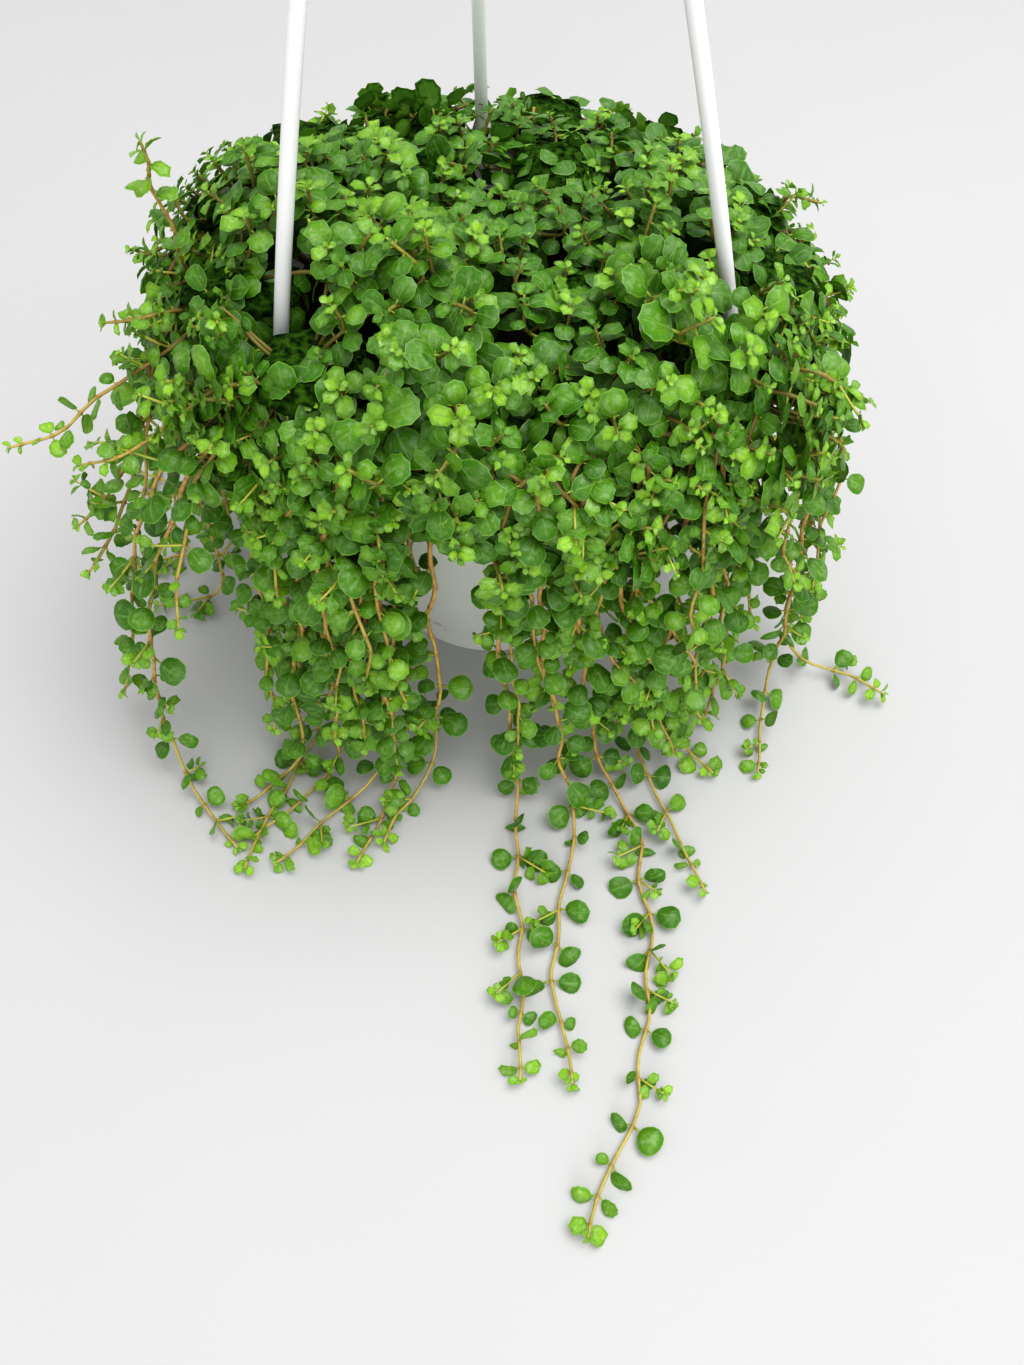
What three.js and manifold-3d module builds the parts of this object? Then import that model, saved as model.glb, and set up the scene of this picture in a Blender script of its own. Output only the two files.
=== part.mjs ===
// A creeping pilea in a white plastic hanging pot that stands on a flat surface.
// Units are millimetres and +Z is up. The origin is the centre of the pot's base.
// Azimuths are in degrees, from +Y (the back) towards +X (the right).

import * as THREE from 'three';
import { mergeVertices } from 'three/addons/utils/BufferGeometryUtils.js';
import Module from 'manifold-3d';

// Pot
const POT_HEIGHT = 132;
const RIM_RADIUS = 76;
const RIM_INNER_RADIUS = 67;
const RIM_THICKNESS = 2.4;
const BAND_HEIGHT = 14;
const BAND_THICKNESS = 1.8;
const BASE_RADIUS = 41;
const WALL = 2;
const FLOOR_THICKNESS = 3;
const EDGE = 0.8;
const POT_SEGMENTS = 32;
const HOLE_SIDES = 8;
const DRAIN_COUNT = 4;
const DRAIN_RADIUS = 3;
const DRAIN_RING = 24;

// Soil
const SOIL_DEPTH_BELOW_RIM = 12;
const SOIL_GAP = 0.4;
const SOIL_EDGE_DROP = 1;
const SOIL_FLAT_SHARE = 0.8;
const ROOT_DEPTH = 18;
const ROOT_RADIUS = 2;
const ROOT_HOLE_RADIUS = 2.45;
const ROOT_RING = 57;
const ROOT_SIDES = 6;
const ROOT_KNEE_RISE = 3;
const NECK_RADIUS = 1.8;
const NECK_SIDES = 4;

// Hanger: three round rods that meet at a hub with a hook
const ROD_RADIUS = 2.05;
const ROD_AZIMUTHS = { back: -8, right: 112, left: -128 };
const ROD_BOW = 4;
const ROD_SIDES = 8;
const ROD_STEPS = 6;
const FOOT_RING = 71.4;
const FOOT_GAP = 0.3;
const FOOT_COLLAR_RADIUS = 3.6;
const FOOT_COLLAR_HEIGHT = 1.5;
const FOOT_SLEEVE_HEIGHT = 6;
const FOOT_SLEEVE_RADIUS = 2.35;
const FOOT_SIDES = 6;
const ROD_SEAT_RISE = 3;
const PIN_RADIUS = 1.2;
const PIN_HOLE_RADIUS = 1.7;
const PIN_HEAD_RADIUS = 2;
const PIN_HEAD_HEIGHT = 2.5;
const PIN_HEAD_TAPER = 1;
const HUB_RISE = 232;
const HUB_LEAN = -12;
const HUB_RADIUS = 7;
const HUB_PROFILE = [[0, -9], [3, -9], [HUB_RADIUS, -4], [HUB_RADIUS, 3], [3.2, 8], [0, 8]];
const HUB_SIDES = 12;
const HOOK_RADIUS = 15;
const HOOK_OFFSET = 3.75;
const HOOK_SHANK = 16;
const HOOK_WIRE_RADIUS = 2.4;
const HOOK_FROM = 210;
const HOOK_TO = -30;
const HOOK_TURN = 30;
const HOOK_STEPS = 14;

// Mound of short leafy shoots: one tuft to a node, in a middle, an inner and an outer ring
// Each range is its lowest value and what a draw adds to it. A tuft's size is across, outward, up.
const MIDDLE_PLACE = [0, -2, 17];
const MIDDLE_SIZE = [15, 15, 14];
const INNER_COUNT = 6;
const INNER_RING = 37;
const INNER_TURN = 22;
const INNER_RISE = [12, 5];
const INNER_WIDTH = 15.5;
const INNER_HEIGHT = [13, 2];
const OUTER_COUNT = 12;
const OUTER_RING = 74;
const OUTER_RISE = [14, 4];
const OUTER_WIDTH = 15;
const OUTER_REACH = 18;
const OUTER_HEIGHT = [11, 1];
const FRONT_AZIMUTH = 172;
const FRONT_HALF_ANGLE = 20;
const FRONT_RING = 70;
const FRONT_REACH = 15;
const CORE_SHRINK = [0.9, 0.1];
const TUFT_LEAVES = 8;
const TUFT_LEAF_SIZE = 1.5;
const TUFT_LEAF_LIFT = 0.35;
const TUFT_LEAF_SPREAD = 0.75;
const TUFT_LEAF_DEPTH = 0.62;
const TUFT_LEAF_DROOP = 0.3;
const TUFT_LEAF_TURN = 1.2;
const CROWN_HEIGHT = 0.97;
const CROWN_FALL = 1.1;
const OUTWARD_BELOW = 0.5;
const GOLDEN_ANGLE = Math.PI * (3 - Math.sqrt(5));
const GOLDEN_SHARE = 0.618;
const TUFT_SEED = 11;

// Leaves: a round blade on a short stalk, as outline points (along, across) and the faces between them
const LEAF_LENGTH = 9.5;
const LEAF_WIDTH = 7.6;
const LEAF_THICKNESS = 0.8;
const LEAF_CUP = 2.4;
const LEAF_CUP_FROM = 0.5;
const LEAF_OUTLINE = [[0, 0], [0.38, 0.4], [0.84, 0.46], [1, 0], [0.84, -0.46], [0.38, -0.4]];
const LEAF_FACES = [[0, 5, 1], [1, 5, 2], [2, 5, 4], [2, 4, 3]];
const LEAF_BASE_OFFSET = 0.3;
const LEAF_CLEARANCE = 0.5;
const SISTER_CLEARANCE = 0.2;
const TRY_ANGLES = [0, 0.45, -0.45, 0.9, -0.9];
const TIP_SIZE = 0.88;
const STEM_LEAF_SIZE = [0.9, 0.2];

// Stems, and how the leaf pairs stand on them
const STEM_RADIUS = 1.15;
const STEM_SIDES = 4;
const STEM_STEP = 22;
const PAIR_SPACING = 76;
const FIRST_PAIR = 0.99;
const LEAFY_SHARE = 0.8;
const PAIR_LEAN = 0.4;
const PAIR_LIFT = 0.3;
const PAIR_TWIST = 0.9;
const OUTWARD_FACING = 0.8;
const SURFACE_CLEARANCE = 0.4;

// Trailing stems that were placed by eye: the azimuth where each leaves the mound, then its route
const PLACED_STEMS = [
  { azimuth: 163, route: [[30, -86, 95], [34, -87, 47], [44, -89, 10], [52, -101, 4], [57, -126, 4],
    [59, -156, 4], [58, -181, 4], [53, -205, 4], [46, -223, 4], [42, -235, 6]] },
  { azimuth: 178, route: [[4, -88, 100], [9, -91, 50], [12, -95, 12], [15, -115, 5], [17, -139, 4],
    [19, -159, 4], [20, -174, 4], [22, -195, 6]] },
  { azimuth: 170, route: [[19, -88, 90], [26, -94, 35], [33, -102, 8], [34, -118, 5], [31, -139, 4],
    [29, -159, 4], [32, -177, 4], [37, -195, 6]] },
  { azimuth: -136, route: [[-82, -76, 110], [-98, -82, 70], [-102, -91, 22], [-96, -104, 8],
    [-84, -118, 4], [-74, -128, 4]] },
  { azimuth: -162, route: [[-31, -88, 100], [-30, -92, 50], [-28, -95, 14], [-42, -106, 6],
    [-54, -120, 5], [-63, -131, 5]] },
  { azimuth: -150, route: [[-50, -84, 95], [-56, -92, 45], [-59, -97, 10], [-69, -107, 5],
    [-79, -111, 5]] },
  { azimuth: -172, route: [[-13, -88, 90], [-12, -88, 40], [-12, -90, 12], [-19, -105, 6],
    [-24, -112, 5], [-27, -122, 5]] },
  { azimuth: -117, route: [[-106, -53, 126], [-116, -60, 121], [-127, -68, 120]] },
  { azimuth: -110, route: [[-99, -46, 108], [-106, -58, 90], [-116, -75, 78]] },
  { azimuth: -132, route: [[-92, -68, 122], [-107, -69, 117]] },
  { azimuth: -112, route: [[-90, -40, 145], [-102, -42, 144]] },
  { azimuth: -100, route: [[-84, -20, 158], [-86, -22, 170], [-86, -26, 184]] },
  { azimuth: 70, route: [[84, 30, 144], [95, 36, 140]] },
  { azimuth: 92, route: [[88, -2, 138], [98, 1, 131]] },
  { azimuth: 119, route: [[86, -44, 143], [96, -38, 133], [104, -34, 126]] },
  { azimuth: 116, route: [[94, -46, 110], [98, -44, 73], [102, -47, 42], [102, -52, 10], [101, -66, 5],
    [98, -87, 5]] },
  { azimuth: 106, route: [[97, -26, 110], [106, -30, 60], [110, -34, 12], [126, -43, 7], [145, -53, 7]] },
  { azimuth: 128, route: [[74, -58, 105], [79, -60, 55], [80, -64, 14], [79, -69, 6]] },
  { azimuth: 152, route: [[36, -82, 110], [50, -82, 67], [60, -82, 35], [68, -85, 10]] },
];

// Trailing stems that are placed by rule: each range of azimuths, how many, and how far they spread
const STEM_RANGES = [
  { from: -168, to: -140, count: 4, spread: 10, seed: 21 },
  { from: -106, to: -76, count: 4, spread: 22, seed: 22 },
  { from: -64, to: 80, count: 11, spread: 18, seed: 23 },
  { from: 134, to: 148, count: 2, spread: 4, seed: 24 },
];
const CREST_RING = 87;
const CREST_RISE = 9;
const START_SHARE = 0.3;
const RULED_RING = 92;
const RULED_DROP = 22;
const RULED_STEPS_OUT = [4, 6];
const RULED_SAG = 10;
const GROUNDED_SHARE = 0.6;
const GROUND_HEIGHT = 5;
const HANGING_END = [10, 60];
const RUN_LENGTH = [15, 45];
const RUN_HEIGHT = 4;
const RULED_TURN = 10;
const TURN_SHARES = [0.4, 1, 1.5, 2.2];

const wasm = await Module();
wasm.setup();

const UP = new THREE.Vector3(0, 0, 1);

// Random draws that repeat from a seed
function seeded(seed) {
  let state = seed >>> 0;
  return () => {
    state = (state + 0x6d2b79f5) >>> 0;
    let t = Math.imul(state ^ (state >>> 15), 1 | state);
    t = (t + Math.imul(t ^ (t >>> 7), 61 | t)) ^ t;
    return ((t ^ (t >>> 14)) >>> 0) / 4294967296;
  };
}

function polar(radius, azimuth, z) {
  const angle = THREE.MathUtils.degToRad(azimuth);
  return new THREE.Vector3(radius * Math.sin(angle), radius * Math.cos(angle), z);
}

// A closed geometry as a solid
function solid(geometry) {
  const plain = geometry.clone();
  plain.deleteAttribute('normal');
  plain.deleteAttribute('uv');
  const merged = mergeVertices(plain, 1e-4);
  return new wasm.Manifold(new wasm.Mesh({
    numProp: 3,
    vertProperties: new Float32Array(merged.attributes.position.array),
    triVerts: new Uint32Array(merged.index.array),
  }));
}

function toGeometry(body) {
  const mesh = body.getMesh();
  const geometry = new THREE.BufferGeometry();
  geometry.setAttribute('position', new THREE.BufferAttribute(mesh.vertProperties, 3));
  geometry.setIndex(new THREE.BufferAttribute(mesh.triVerts, 1));
  geometry.computeVertexNormals();
  return geometry;
}

// Joins pieces into one body and drops any loose scrap
function fuse(pieces) {
  const whole = pieces.reduce((sum, piece) => sum.add(piece));
  const bodies = whole.decompose();
  bodies.sort((a, b) => b.volume() - a.volume());
  return bodies[0];
}

function lathe(profile, segments) {
  const points = profile.map(([radius, z]) => new THREE.Vector2(radius, z));
  const geometry = new THREE.LatheGeometry(points, segments);
  geometry.rotateX(Math.PI / 2);
  return solid(geometry);
}

function upright(radius, bottom, top, sides, place) {
  const geometry = new THREE.CylinderGeometry(radius, radius, top - bottom, sides);
  geometry.rotateX(Math.PI / 2);
  geometry.translate(place.x, place.y, (top + bottom) / 2);
  return solid(geometry);
}

function tube(points, radius, sides, steps) {
  const outline = [];
  for (let i = 0; i < sides; i += 1) {
    const angle = (2 * Math.PI * i) / sides;
    outline.push(new THREE.Vector2(radius * Math.cos(angle), radius * Math.sin(angle)));
  }
  const path = new THREE.CatmullRomCurve3(points);
  const geometry = new THREE.ExtrudeGeometry(new THREE.Shape(outline), { steps, extrudePath: path });
  return solid(geometry);
}

function wallRadius(z) {
  const top = RIM_INNER_RADIUS + WALL;
  return THREE.MathUtils.lerp(BASE_RADIUS, top, z / POT_HEIGHT);
}

function potSolid() {
  const under = POT_HEIGHT - RIM_THICKNESS;
  const profile = [
    [0, 0],
    [BASE_RADIUS - EDGE, 0],
    [BASE_RADIUS, EDGE],
    [wallRadius(under), under],
    [RIM_RADIUS - BAND_THICKNESS, under],
    [RIM_RADIUS - BAND_THICKNESS, POT_HEIGHT - BAND_HEIGHT],
    [RIM_RADIUS, POT_HEIGHT - BAND_HEIGHT],
    [RIM_RADIUS, POT_HEIGHT - EDGE],
    [RIM_RADIUS - EDGE, POT_HEIGHT],
    [RIM_INNER_RADIUS, POT_HEIGHT],
    [wallRadius(FLOOR_THICKNESS) - WALL, FLOOR_THICKNESS],
    [0, FLOOR_THICKNESS],
  ];
  let body = lathe(profile, POT_SEGMENTS);
  for (const azimuth of Object.values(ROD_AZIMUTHS)) {
    const place = polar(FOOT_RING, azimuth, 0);
    body = body.subtract(upright(PIN_HOLE_RADIUS, under - 1, POT_HEIGHT + 1, HOLE_SIDES, place));
  }
  for (let i = 0; i < DRAIN_COUNT; i += 1) {
    const place = polar(DRAIN_RING, (360 * (i + 0.5)) / DRAIN_COUNT, 0);
    body = body.subtract(upright(DRAIN_RADIUS, -1, FLOOR_THICKNESS + 1, HOLE_SIDES, place));
  }
  return body;
}

function soilSolid(roots) {
  const top = POT_HEIGHT - SOIL_DEPTH_BELOW_RIM;
  const bottom = FLOOR_THICKNESS + SOIL_GAP;
  const profile = [
    [0, bottom],
    [wallRadius(bottom) - WALL - SOIL_GAP, bottom],
    [wallRadius(top) - WALL - SOIL_GAP, top - SOIL_EDGE_DROP],
    [wallRadius(top) * SOIL_FLAT_SHARE, top],
    [0, top],
  ];
  let body = lathe(profile, POT_SEGMENTS);
  for (const root of roots) {
    body = body.subtract(upright(ROOT_HOLE_RADIUS, top - ROOT_DEPTH - 1, top + 2, ROOT_SIDES, root));
  }
  return body;
}

function hubPlace() {
  return new THREE.Vector3(HUB_LEAN, 0, POT_HEIGHT + HUB_RISE);
}

// The middle line of a rod, from its foot to the hub
function rodPoint(azimuth, along) {
  const foot = polar(FOOT_RING, azimuth, POT_HEIGHT + ROD_SEAT_RISE);
  const bow = polar(ROD_BOW * 4 * along * (1 - along), azimuth, 0);
  return foot.lerp(hubPlace(), along).add(bow);
}

function rodSolid(azimuth) {
  const points = [0, 0.25, 0.5, 0.75, 1].map((along) => rodPoint(azimuth, along));
  return tube(points, ROD_RADIUS, ROD_SIDES, ROD_STEPS);
}

function footSolid(azimuth) {
  const seat = POT_HEIGHT + FOOT_GAP;
  const under = POT_HEIGHT - RIM_THICKNESS - FOOT_GAP;
  const profile = [
    [0, under - PIN_HEAD_HEIGHT],
    [PIN_HEAD_RADIUS, under - PIN_HEAD_HEIGHT + PIN_HEAD_TAPER],
    [PIN_HEAD_RADIUS, under],
    [PIN_RADIUS, under],
    [PIN_RADIUS, seat],
    [FOOT_COLLAR_RADIUS, seat],
    [FOOT_COLLAR_RADIUS, seat + FOOT_COLLAR_HEIGHT],
    [FOOT_SLEEVE_RADIUS, seat + FOOT_SLEEVE_HEIGHT],
    [0, seat + FOOT_SLEEVE_HEIGHT],
  ];
  const place = polar(FOOT_RING, azimuth, 0);
  return lathe(profile, FOOT_SIDES).translate([place.x, place.y, 0]);
}

function hookSolid() {
  const hub = hubPlace();
  const points = [hub.clone(), hub.clone().add(new THREE.Vector3(0, 0, HOOK_SHANK))];
  const centre = points[1].clone().add(new THREE.Vector3(HOOK_OFFSET, 0, HOOK_RADIUS));
  for (let degrees = HOOK_FROM; degrees >= HOOK_TO; degrees -= HOOK_TURN) {
    const angle = THREE.MathUtils.degToRad(degrees);
    const reach = new THREE.Vector3(Math.cos(angle), 0, Math.sin(angle)).multiplyScalar(HOOK_RADIUS);
    points.push(centre.clone().add(reach));
  }
  return tube(points, HOOK_WIRE_RADIUS, ROD_SIDES, HOOK_STEPS);
}

function hubSolid() {
  const hub = hubPlace();
  return lathe(HUB_PROFILE, HUB_SIDES).translate([hub.x, hub.y, hub.z]);
}

function hangerSolid() {
  const pieces = [hubSolid(), hookSolid()];
  for (const azimuth of Object.values(ROD_AZIMUTHS)) {
    pieces.push(rodSolid(azimuth), footSolid(azimuth));
  }
  return fuse(pieces);
}

// A draw from a range
function within([lowest, extra], draw) {
  return lowest + extra * draw();
}

// The tufts: where each stands, how large it is and where it is rooted
function tuftList() {
  const draw = seeded(TUFT_SEED);
  const middle = new THREE.Vector3(...MIDDLE_PLACE).add(new THREE.Vector3(0, 0, POT_HEIGHT));
  const tufts = [{
    name: 'tuft_middle', azimuth: 0, centre: middle, size: new THREE.Vector3(...MIDDLE_SIZE),
    root: new THREE.Vector3(0, 0, 0),
  }];
  for (let i = 0; i < INNER_COUNT; i += 1) {
    const azimuth = INNER_TURN + (360 * i) / INNER_COUNT;
    const rise = within(INNER_RISE, draw);
    tufts.push({
      name: `tuft_inner_${i + 1}`, azimuth, centre: polar(INNER_RING, azimuth, POT_HEIGHT + rise),
      size: new THREE.Vector3(INNER_WIDTH, INNER_WIDTH, within(INNER_HEIGHT, draw)),
      root: polar(INNER_RING, azimuth, 0),
    });
  }
  for (let i = 0; i < OUTER_COUNT; i += 1) {
    const azimuth = ROD_AZIMUTHS.back + (360 * (i + 0.5)) / OUTER_COUNT;
    const front = Math.abs(azimuth - FRONT_AZIMUTH) < FRONT_HALF_ANGLE;
    const ring = front ? FRONT_RING : OUTER_RING;
    const rise = within(OUTER_RISE, draw);
    tufts.push({
      name: `tuft_outer_${i + 1}`, azimuth, centre: polar(ring, azimuth, POT_HEIGHT + rise),
      size: new THREE.Vector3(OUTER_WIDTH, front ? FRONT_REACH : OUTER_REACH, within(OUTER_HEIGHT, draw)),
      root: polar(ROOT_RING, azimuth, 0),
    });
  }
  return tufts;
}

function tuftSolid(tuft, draw) {
  const geometry = mergeVertices(new THREE.IcosahedronGeometry(1, 0)
    .deleteAttribute('normal').deleteAttribute('uv'), 1e-4);
  const position = geometry.attributes.position;
  for (let i = 0; i < position.count; i += 1) {
    const scale = within(CORE_SHRINK, draw);
    position.setXYZ(i, position.getX(i) * scale, position.getY(i) * scale, position.getZ(i) * scale);
  }
  geometry.scale(tuft.size.x, tuft.size.y, tuft.size.z);
  geometry.rotateZ(-THREE.MathUtils.degToRad(tuft.azimuth));
  geometry.translate(tuft.centre.x, tuft.centre.y, tuft.centre.z);
  return solid(geometry);
}

// The rooted base: straight down in the soil, and in an outer tuft leaning out to its middle
function rootSolid(tuft) {
  const top = POT_HEIGHT - SOIL_DEPTH_BELOW_RIM;
  if (!tuft.name.startsWith('tuft_outer')) {
    return upright(ROOT_RADIUS, top - ROOT_DEPTH, tuft.centre.z, ROOT_SIDES, tuft.root);
  }
  const knee = new THREE.Vector3(tuft.root.x, tuft.root.y, top + ROOT_KNEE_RISE);
  const buried = upright(ROOT_RADIUS, top - ROOT_DEPTH, knee.z, ROOT_SIDES, tuft.root);
  const neck = knee.clone().setZ(knee.z - ROOT_RADIUS);
  return buried.add(tube([neck, tuft.centre], NECK_RADIUS, NECK_SIDES, 1));
}

// Stems that are placed by rule: they arch over the rim, hang, and some run on along the surface
function ruledStems() {
  const stems = [];
  for (const range of STEM_RANGES) {
    const draw = seeded(range.seed);
    for (let i = 0; i < range.count; i += 1) {
      const share = (i + 0.25 + 0.5 * draw()) / range.count;
      const azimuth = THREE.MathUtils.lerp(range.from, range.to, share);
      const ring = within([RULED_RING, range.spread], draw);
      const isGrounded = draw() < GROUNDED_SHARE;
      const end = isGrounded ? GROUND_HEIGHT : within(HANGING_END, draw);
      const run = isGrounded ? within(RUN_LENGTH, draw) : 0;
      const swing = RULED_TURN * (draw() - 0.5);
      const turns = TURN_SHARES.map((part) => azimuth + part * swing);
      const [halfway, foot] = RULED_STEPS_OUT.map((step) => ring + step);
      const route = [
        polar(ring, azimuth, POT_HEIGHT - RULED_DROP),
        polar(halfway, turns[0], (POT_HEIGHT + end) / 2 - RULED_SAG),
        polar(foot, turns[1], end + 3),
      ];
      if (isGrounded) {
        route.push(polar(foot + run * 0.5, turns[2], RUN_HEIGHT));
        route.push(polar(foot + run, turns[3], RUN_HEIGHT + 1));
      }
      stems.push({ azimuth, route });
    }
  }
  return stems;
}

function stemList() {
  const placed = PLACED_STEMS.map(({ azimuth, route }) => (
    { azimuth, route: route.map(([x, y, z]) => new THREE.Vector3(x, y, z)) }));
  return placed.concat(ruledStems());
}

function angleBetween(a, b) {
  return Math.abs(((a - b + 540) % 360) - 180);
}

// The outer tuft that a stem springs from
function homeTuft(tufts, azimuth) {
  const outer = tufts.filter((tuft) => tuft.name.startsWith('tuft_outer'));
  outer.sort((a, b) => angleBetween(a.azimuth, azimuth) - angleBetween(b.azimuth, azimuth));
  return outer[0];
}

function stemPath(stem, tuft) {
  const edge = polar(CREST_RING, tuft.azimuth, tuft.centre.z);
  const start = tuft.centre.clone().lerp(edge, START_SHARE);
  const crest = polar(CREST_RING, stem.azimuth, POT_HEIGHT + CREST_RISE);
  return new THREE.CatmullRomCurve3([start, crest, ...stem.route]);
}

// One leaf with its base at the origin, its tip along +X and its face up
function leafBlade() {
  const count = LEAF_OUTLINE.length;
  const positions = [];
  for (const level of [LEAF_THICKNESS / 2, -LEAF_THICKNESS / 2]) {
    for (const [along, across] of LEAF_OUTLINE) {
      const drop = LEAF_CUP * Math.max(0, along - LEAF_CUP_FROM);
      positions.push(LEAF_BASE_OFFSET + along * LEAF_LENGTH, across * LEAF_WIDTH, level - drop);
    }
  }
  const index = [];
  for (const [a, b, c] of LEAF_FACES) {
    index.push(a, b, c, count + a, count + c, count + b);
  }
  for (let i = 0; i < count; i += 1) {
    const next = (i + 1) % count;
    index.push(i, next, count + next, i, count + next, count + i);
  }
  const geometry = new THREE.BufferGeometry();
  geometry.setAttribute('position', new THREE.Float32BufferAttribute(positions, 3));
  geometry.setIndex(index);
  return solid(geometry);
}

const BLADE = leafBlade();

function placeLeaf(base, along, facing, scale) {
  const x = along.clone().normalize();
  const y = facing.clone().cross(x).normalize();
  const z = x.clone().cross(y);
  const matrix = new THREE.Matrix4().makeBasis(x, y, z).setPosition(base);
  matrix.multiply(new THREE.Matrix4().makeScale(scale, scale, scale));
  return BLADE.transform(matrix.elements);
}

function boxesMeet(a, b, gap) {
  return [0, 1, 2].every((i) => a.min[i] < b.max[i] + gap && b.min[i] < a.max[i] + gap);
}

function touches(leaf, box, pieces, gap) {
  return pieces.some((piece) => (
    boxesMeet(box, piece.boundingBox(), gap) && leaf.minGap(piece, gap) < gap));
}

// True where a leaf keeps clear of the surface below, of every other node, and in its own node of
// all but the piece that carries it
function isClear(leaf, carrier, owner, nodes, obstacles) {
  const box = leaf.boundingBox();
  if (box.min[2] < SURFACE_CLEARANCE || touches(leaf, box, obstacles, LEAF_CLEARANCE)) {
    return false;
  }
  for (const node of nodes) {
    const gap = node === owner ? SISTER_CLEARANCE : LEAF_CLEARANCE;
    const pieces = node.woody.concat(node.leaves).filter((piece) => piece !== carrier);
    if (touches(leaf, box, pieces, gap)) {
      return false;
    }
  }
  return true;
}

// Adds a leaf that stands out from an axis at a point, turned about it until it is clear
function addLeaf(site, along, size, nodes, obstacles) {
  for (const angle of TRY_ANGLES) {
    const turned = along.clone().applyAxisAngle(site.axis, angle);
    const leaf = placeLeaf(site.point, turned, site.facing, size);
    if (isClear(leaf, site.carrier, site.node, nodes, obstacles)) {
      site.node.leaves.push(leaf);
      return;
    }
  }
}

// The direction square to a stem that looks out from the pot and up
function stemFacing(point, tangent) {
  const outward = new THREE.Vector3(point.x, point.y, 0).normalize();
  outward.multiplyScalar(OUTWARD_FACING).add(UP);
  return outward.addScaledVector(tangent, -outward.dot(tangent)).normalize();
}

// A point on the middle line of a stem's straight-sided tube
function tubePoint(curve, steps, share) {
  const step = Math.min(Math.floor(share * steps), steps - 1);
  const from = curve.getPointAt(step / steps);
  const to = curve.getPointAt((step + 1) / steps);
  return { point: from.clone().lerp(to, share * steps - step), axis: to.sub(from).normalize() };
}

function addStemLeaves(node, stem, draw, nodes, obstacles) {
  const { curve, steps, carrier } = stem;
  const pairs = Math.max(2, Math.round(curve.getLength() / PAIR_SPACING));
  for (let i = 0; i < pairs; i += 1) {
    const share = FIRST_PAIR - (i * LEAFY_SHARE) / pairs;
    const { point, axis } = tubePoint(curve, steps, share);
    const facing = stemFacing(point, axis).applyAxisAngle(axis, PAIR_TWIST * (draw() - 0.5));
    const site = { node, carrier, point, axis, facing };
    const size = i === 0 ? TIP_SIZE : within(STEM_LEAF_SIZE, draw);
    for (const side of [1, -1]) {
      const along = axis.clone().cross(facing).multiplyScalar(side);
      along.addScaledVector(axis, PAIR_LEAN).addScaledVector(facing, PAIR_LIFT);
      addLeaf(site, along, size, nodes, obstacles);
    }
  }
}

// Leaves that cover a tuft on its upper and outer side, from its crown down
function addTuftLeaves(node, draw, nodes, obstacles) {
  const { tuft } = node;
  const turn = -THREE.MathUtils.degToRad(tuft.azimuth);
  const isOuter = tuft.name.startsWith('tuft_outer');
  for (let i = 0; i < TUFT_LEAVES; i += 1) {
    const height = CROWN_HEIGHT - (CROWN_FALL * i) / TUFT_LEAVES;
    const ring = Math.sqrt(1 - height * height);
    const looksOut = isOuter && height < OUTWARD_BELOW;
    const angle = looksOut ? Math.PI * ((i * GOLDEN_SHARE) % 1) : i * GOLDEN_ANGLE;
    const local = new THREE.Vector3(ring * Math.cos(angle), ring * Math.sin(angle), height);
    const point = local.clone().multiply(tuft.size).multiplyScalar(TUFT_LEAF_DEPTH);
    point.applyAxisAngle(UP, turn).add(tuft.centre);
    const axis = local.applyAxisAngle(UP, turn).normalize();
    const across = new THREE.Vector3(axis.x, axis.y, -TUFT_LEAF_DROOP);
    across.addScaledVector(axis, -across.dot(axis)).normalize();
    across.applyAxisAngle(axis, TUFT_LEAF_TURN * (draw() - 0.5));
    const lift = TUFT_LEAF_LIFT + TUFT_LEAF_SPREAD * (1 - height);
    const facing = axis.clone().addScaledVector(across, -lift);
    const along = across.addScaledVector(axis, lift);
    const site = { node, carrier: node.woody[0], point, axis, facing };
    addLeaf(site, along, TUFT_LEAF_SIZE, nodes, obstacles);
  }
}

function plantNodes(obstacles) {
  const draw = seeded(TUFT_SEED + 1);
  const tufts = tuftList();
  const nodes = tufts.map((tuft) => (
    { name: tuft.name, tuft, stems: [], woody: [tuftSolid(tuft, draw), rootSolid(tuft)], leaves: [] }));
  for (const stem of stemList()) {
    const tuft = homeTuft(tufts, stem.azimuth);
    const node = nodes.find((item) => item.tuft === tuft);
    const curve = stemPath(stem, tuft);
    const steps = Math.max(3, Math.round(curve.getLength() / STEM_STEP));
    const carrier = tube(curve.points, STEM_RADIUS, STEM_SIDES, steps);
    node.stems.push({ curve, steps, carrier });
    node.woody.push(carrier);
  }
  for (const node of nodes) {
    for (const stem of node.stems) {
      addStemLeaves(node, stem, draw, nodes, obstacles);
    }
    addTuftLeaves(node, draw, nodes, obstacles);
  }
  return nodes;
}

const PLASTIC = new THREE.MeshStandardMaterial({ color: 0xe6e8e0, roughness: 0.4, metalness: 0 });
const HANGER_PLASTIC = new THREE.MeshStandardMaterial({ color: 0xeeefec, roughness: 0.35, metalness: 0 });
const SOIL = new THREE.MeshStandardMaterial({ color: 0x3a2a1d, roughness: 0.95, metalness: 0 });
const FOLIAGE = new THREE.MeshStandardMaterial({ color: 0x3c8a2a, roughness: 0.42, metalness: 0 });

function addPart(group, name, body, material) {
  const part = new THREE.Mesh(toGeometry(body), material);
  part.name = name;
  group.add(part);
}

function buildPlant() {
  const group = new THREE.Group();
  const pot = potSolid();
  const hanger = hangerSolid();
  const nodes = plantNodes([pot, hanger]);
  addPart(group, 'pot', pot, PLASTIC);
  addPart(group, 'soil', soilSolid(nodes.map((node) => node.tuft.root)), SOIL);
  addPart(group, 'hanger', hanger, HANGER_PLASTIC);
  for (const node of nodes) {
    addPart(group, node.name, fuse(node.woody.concat(node.leaves)), FOLIAGE);
  }
  return group;
}

export default buildPlant();
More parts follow.
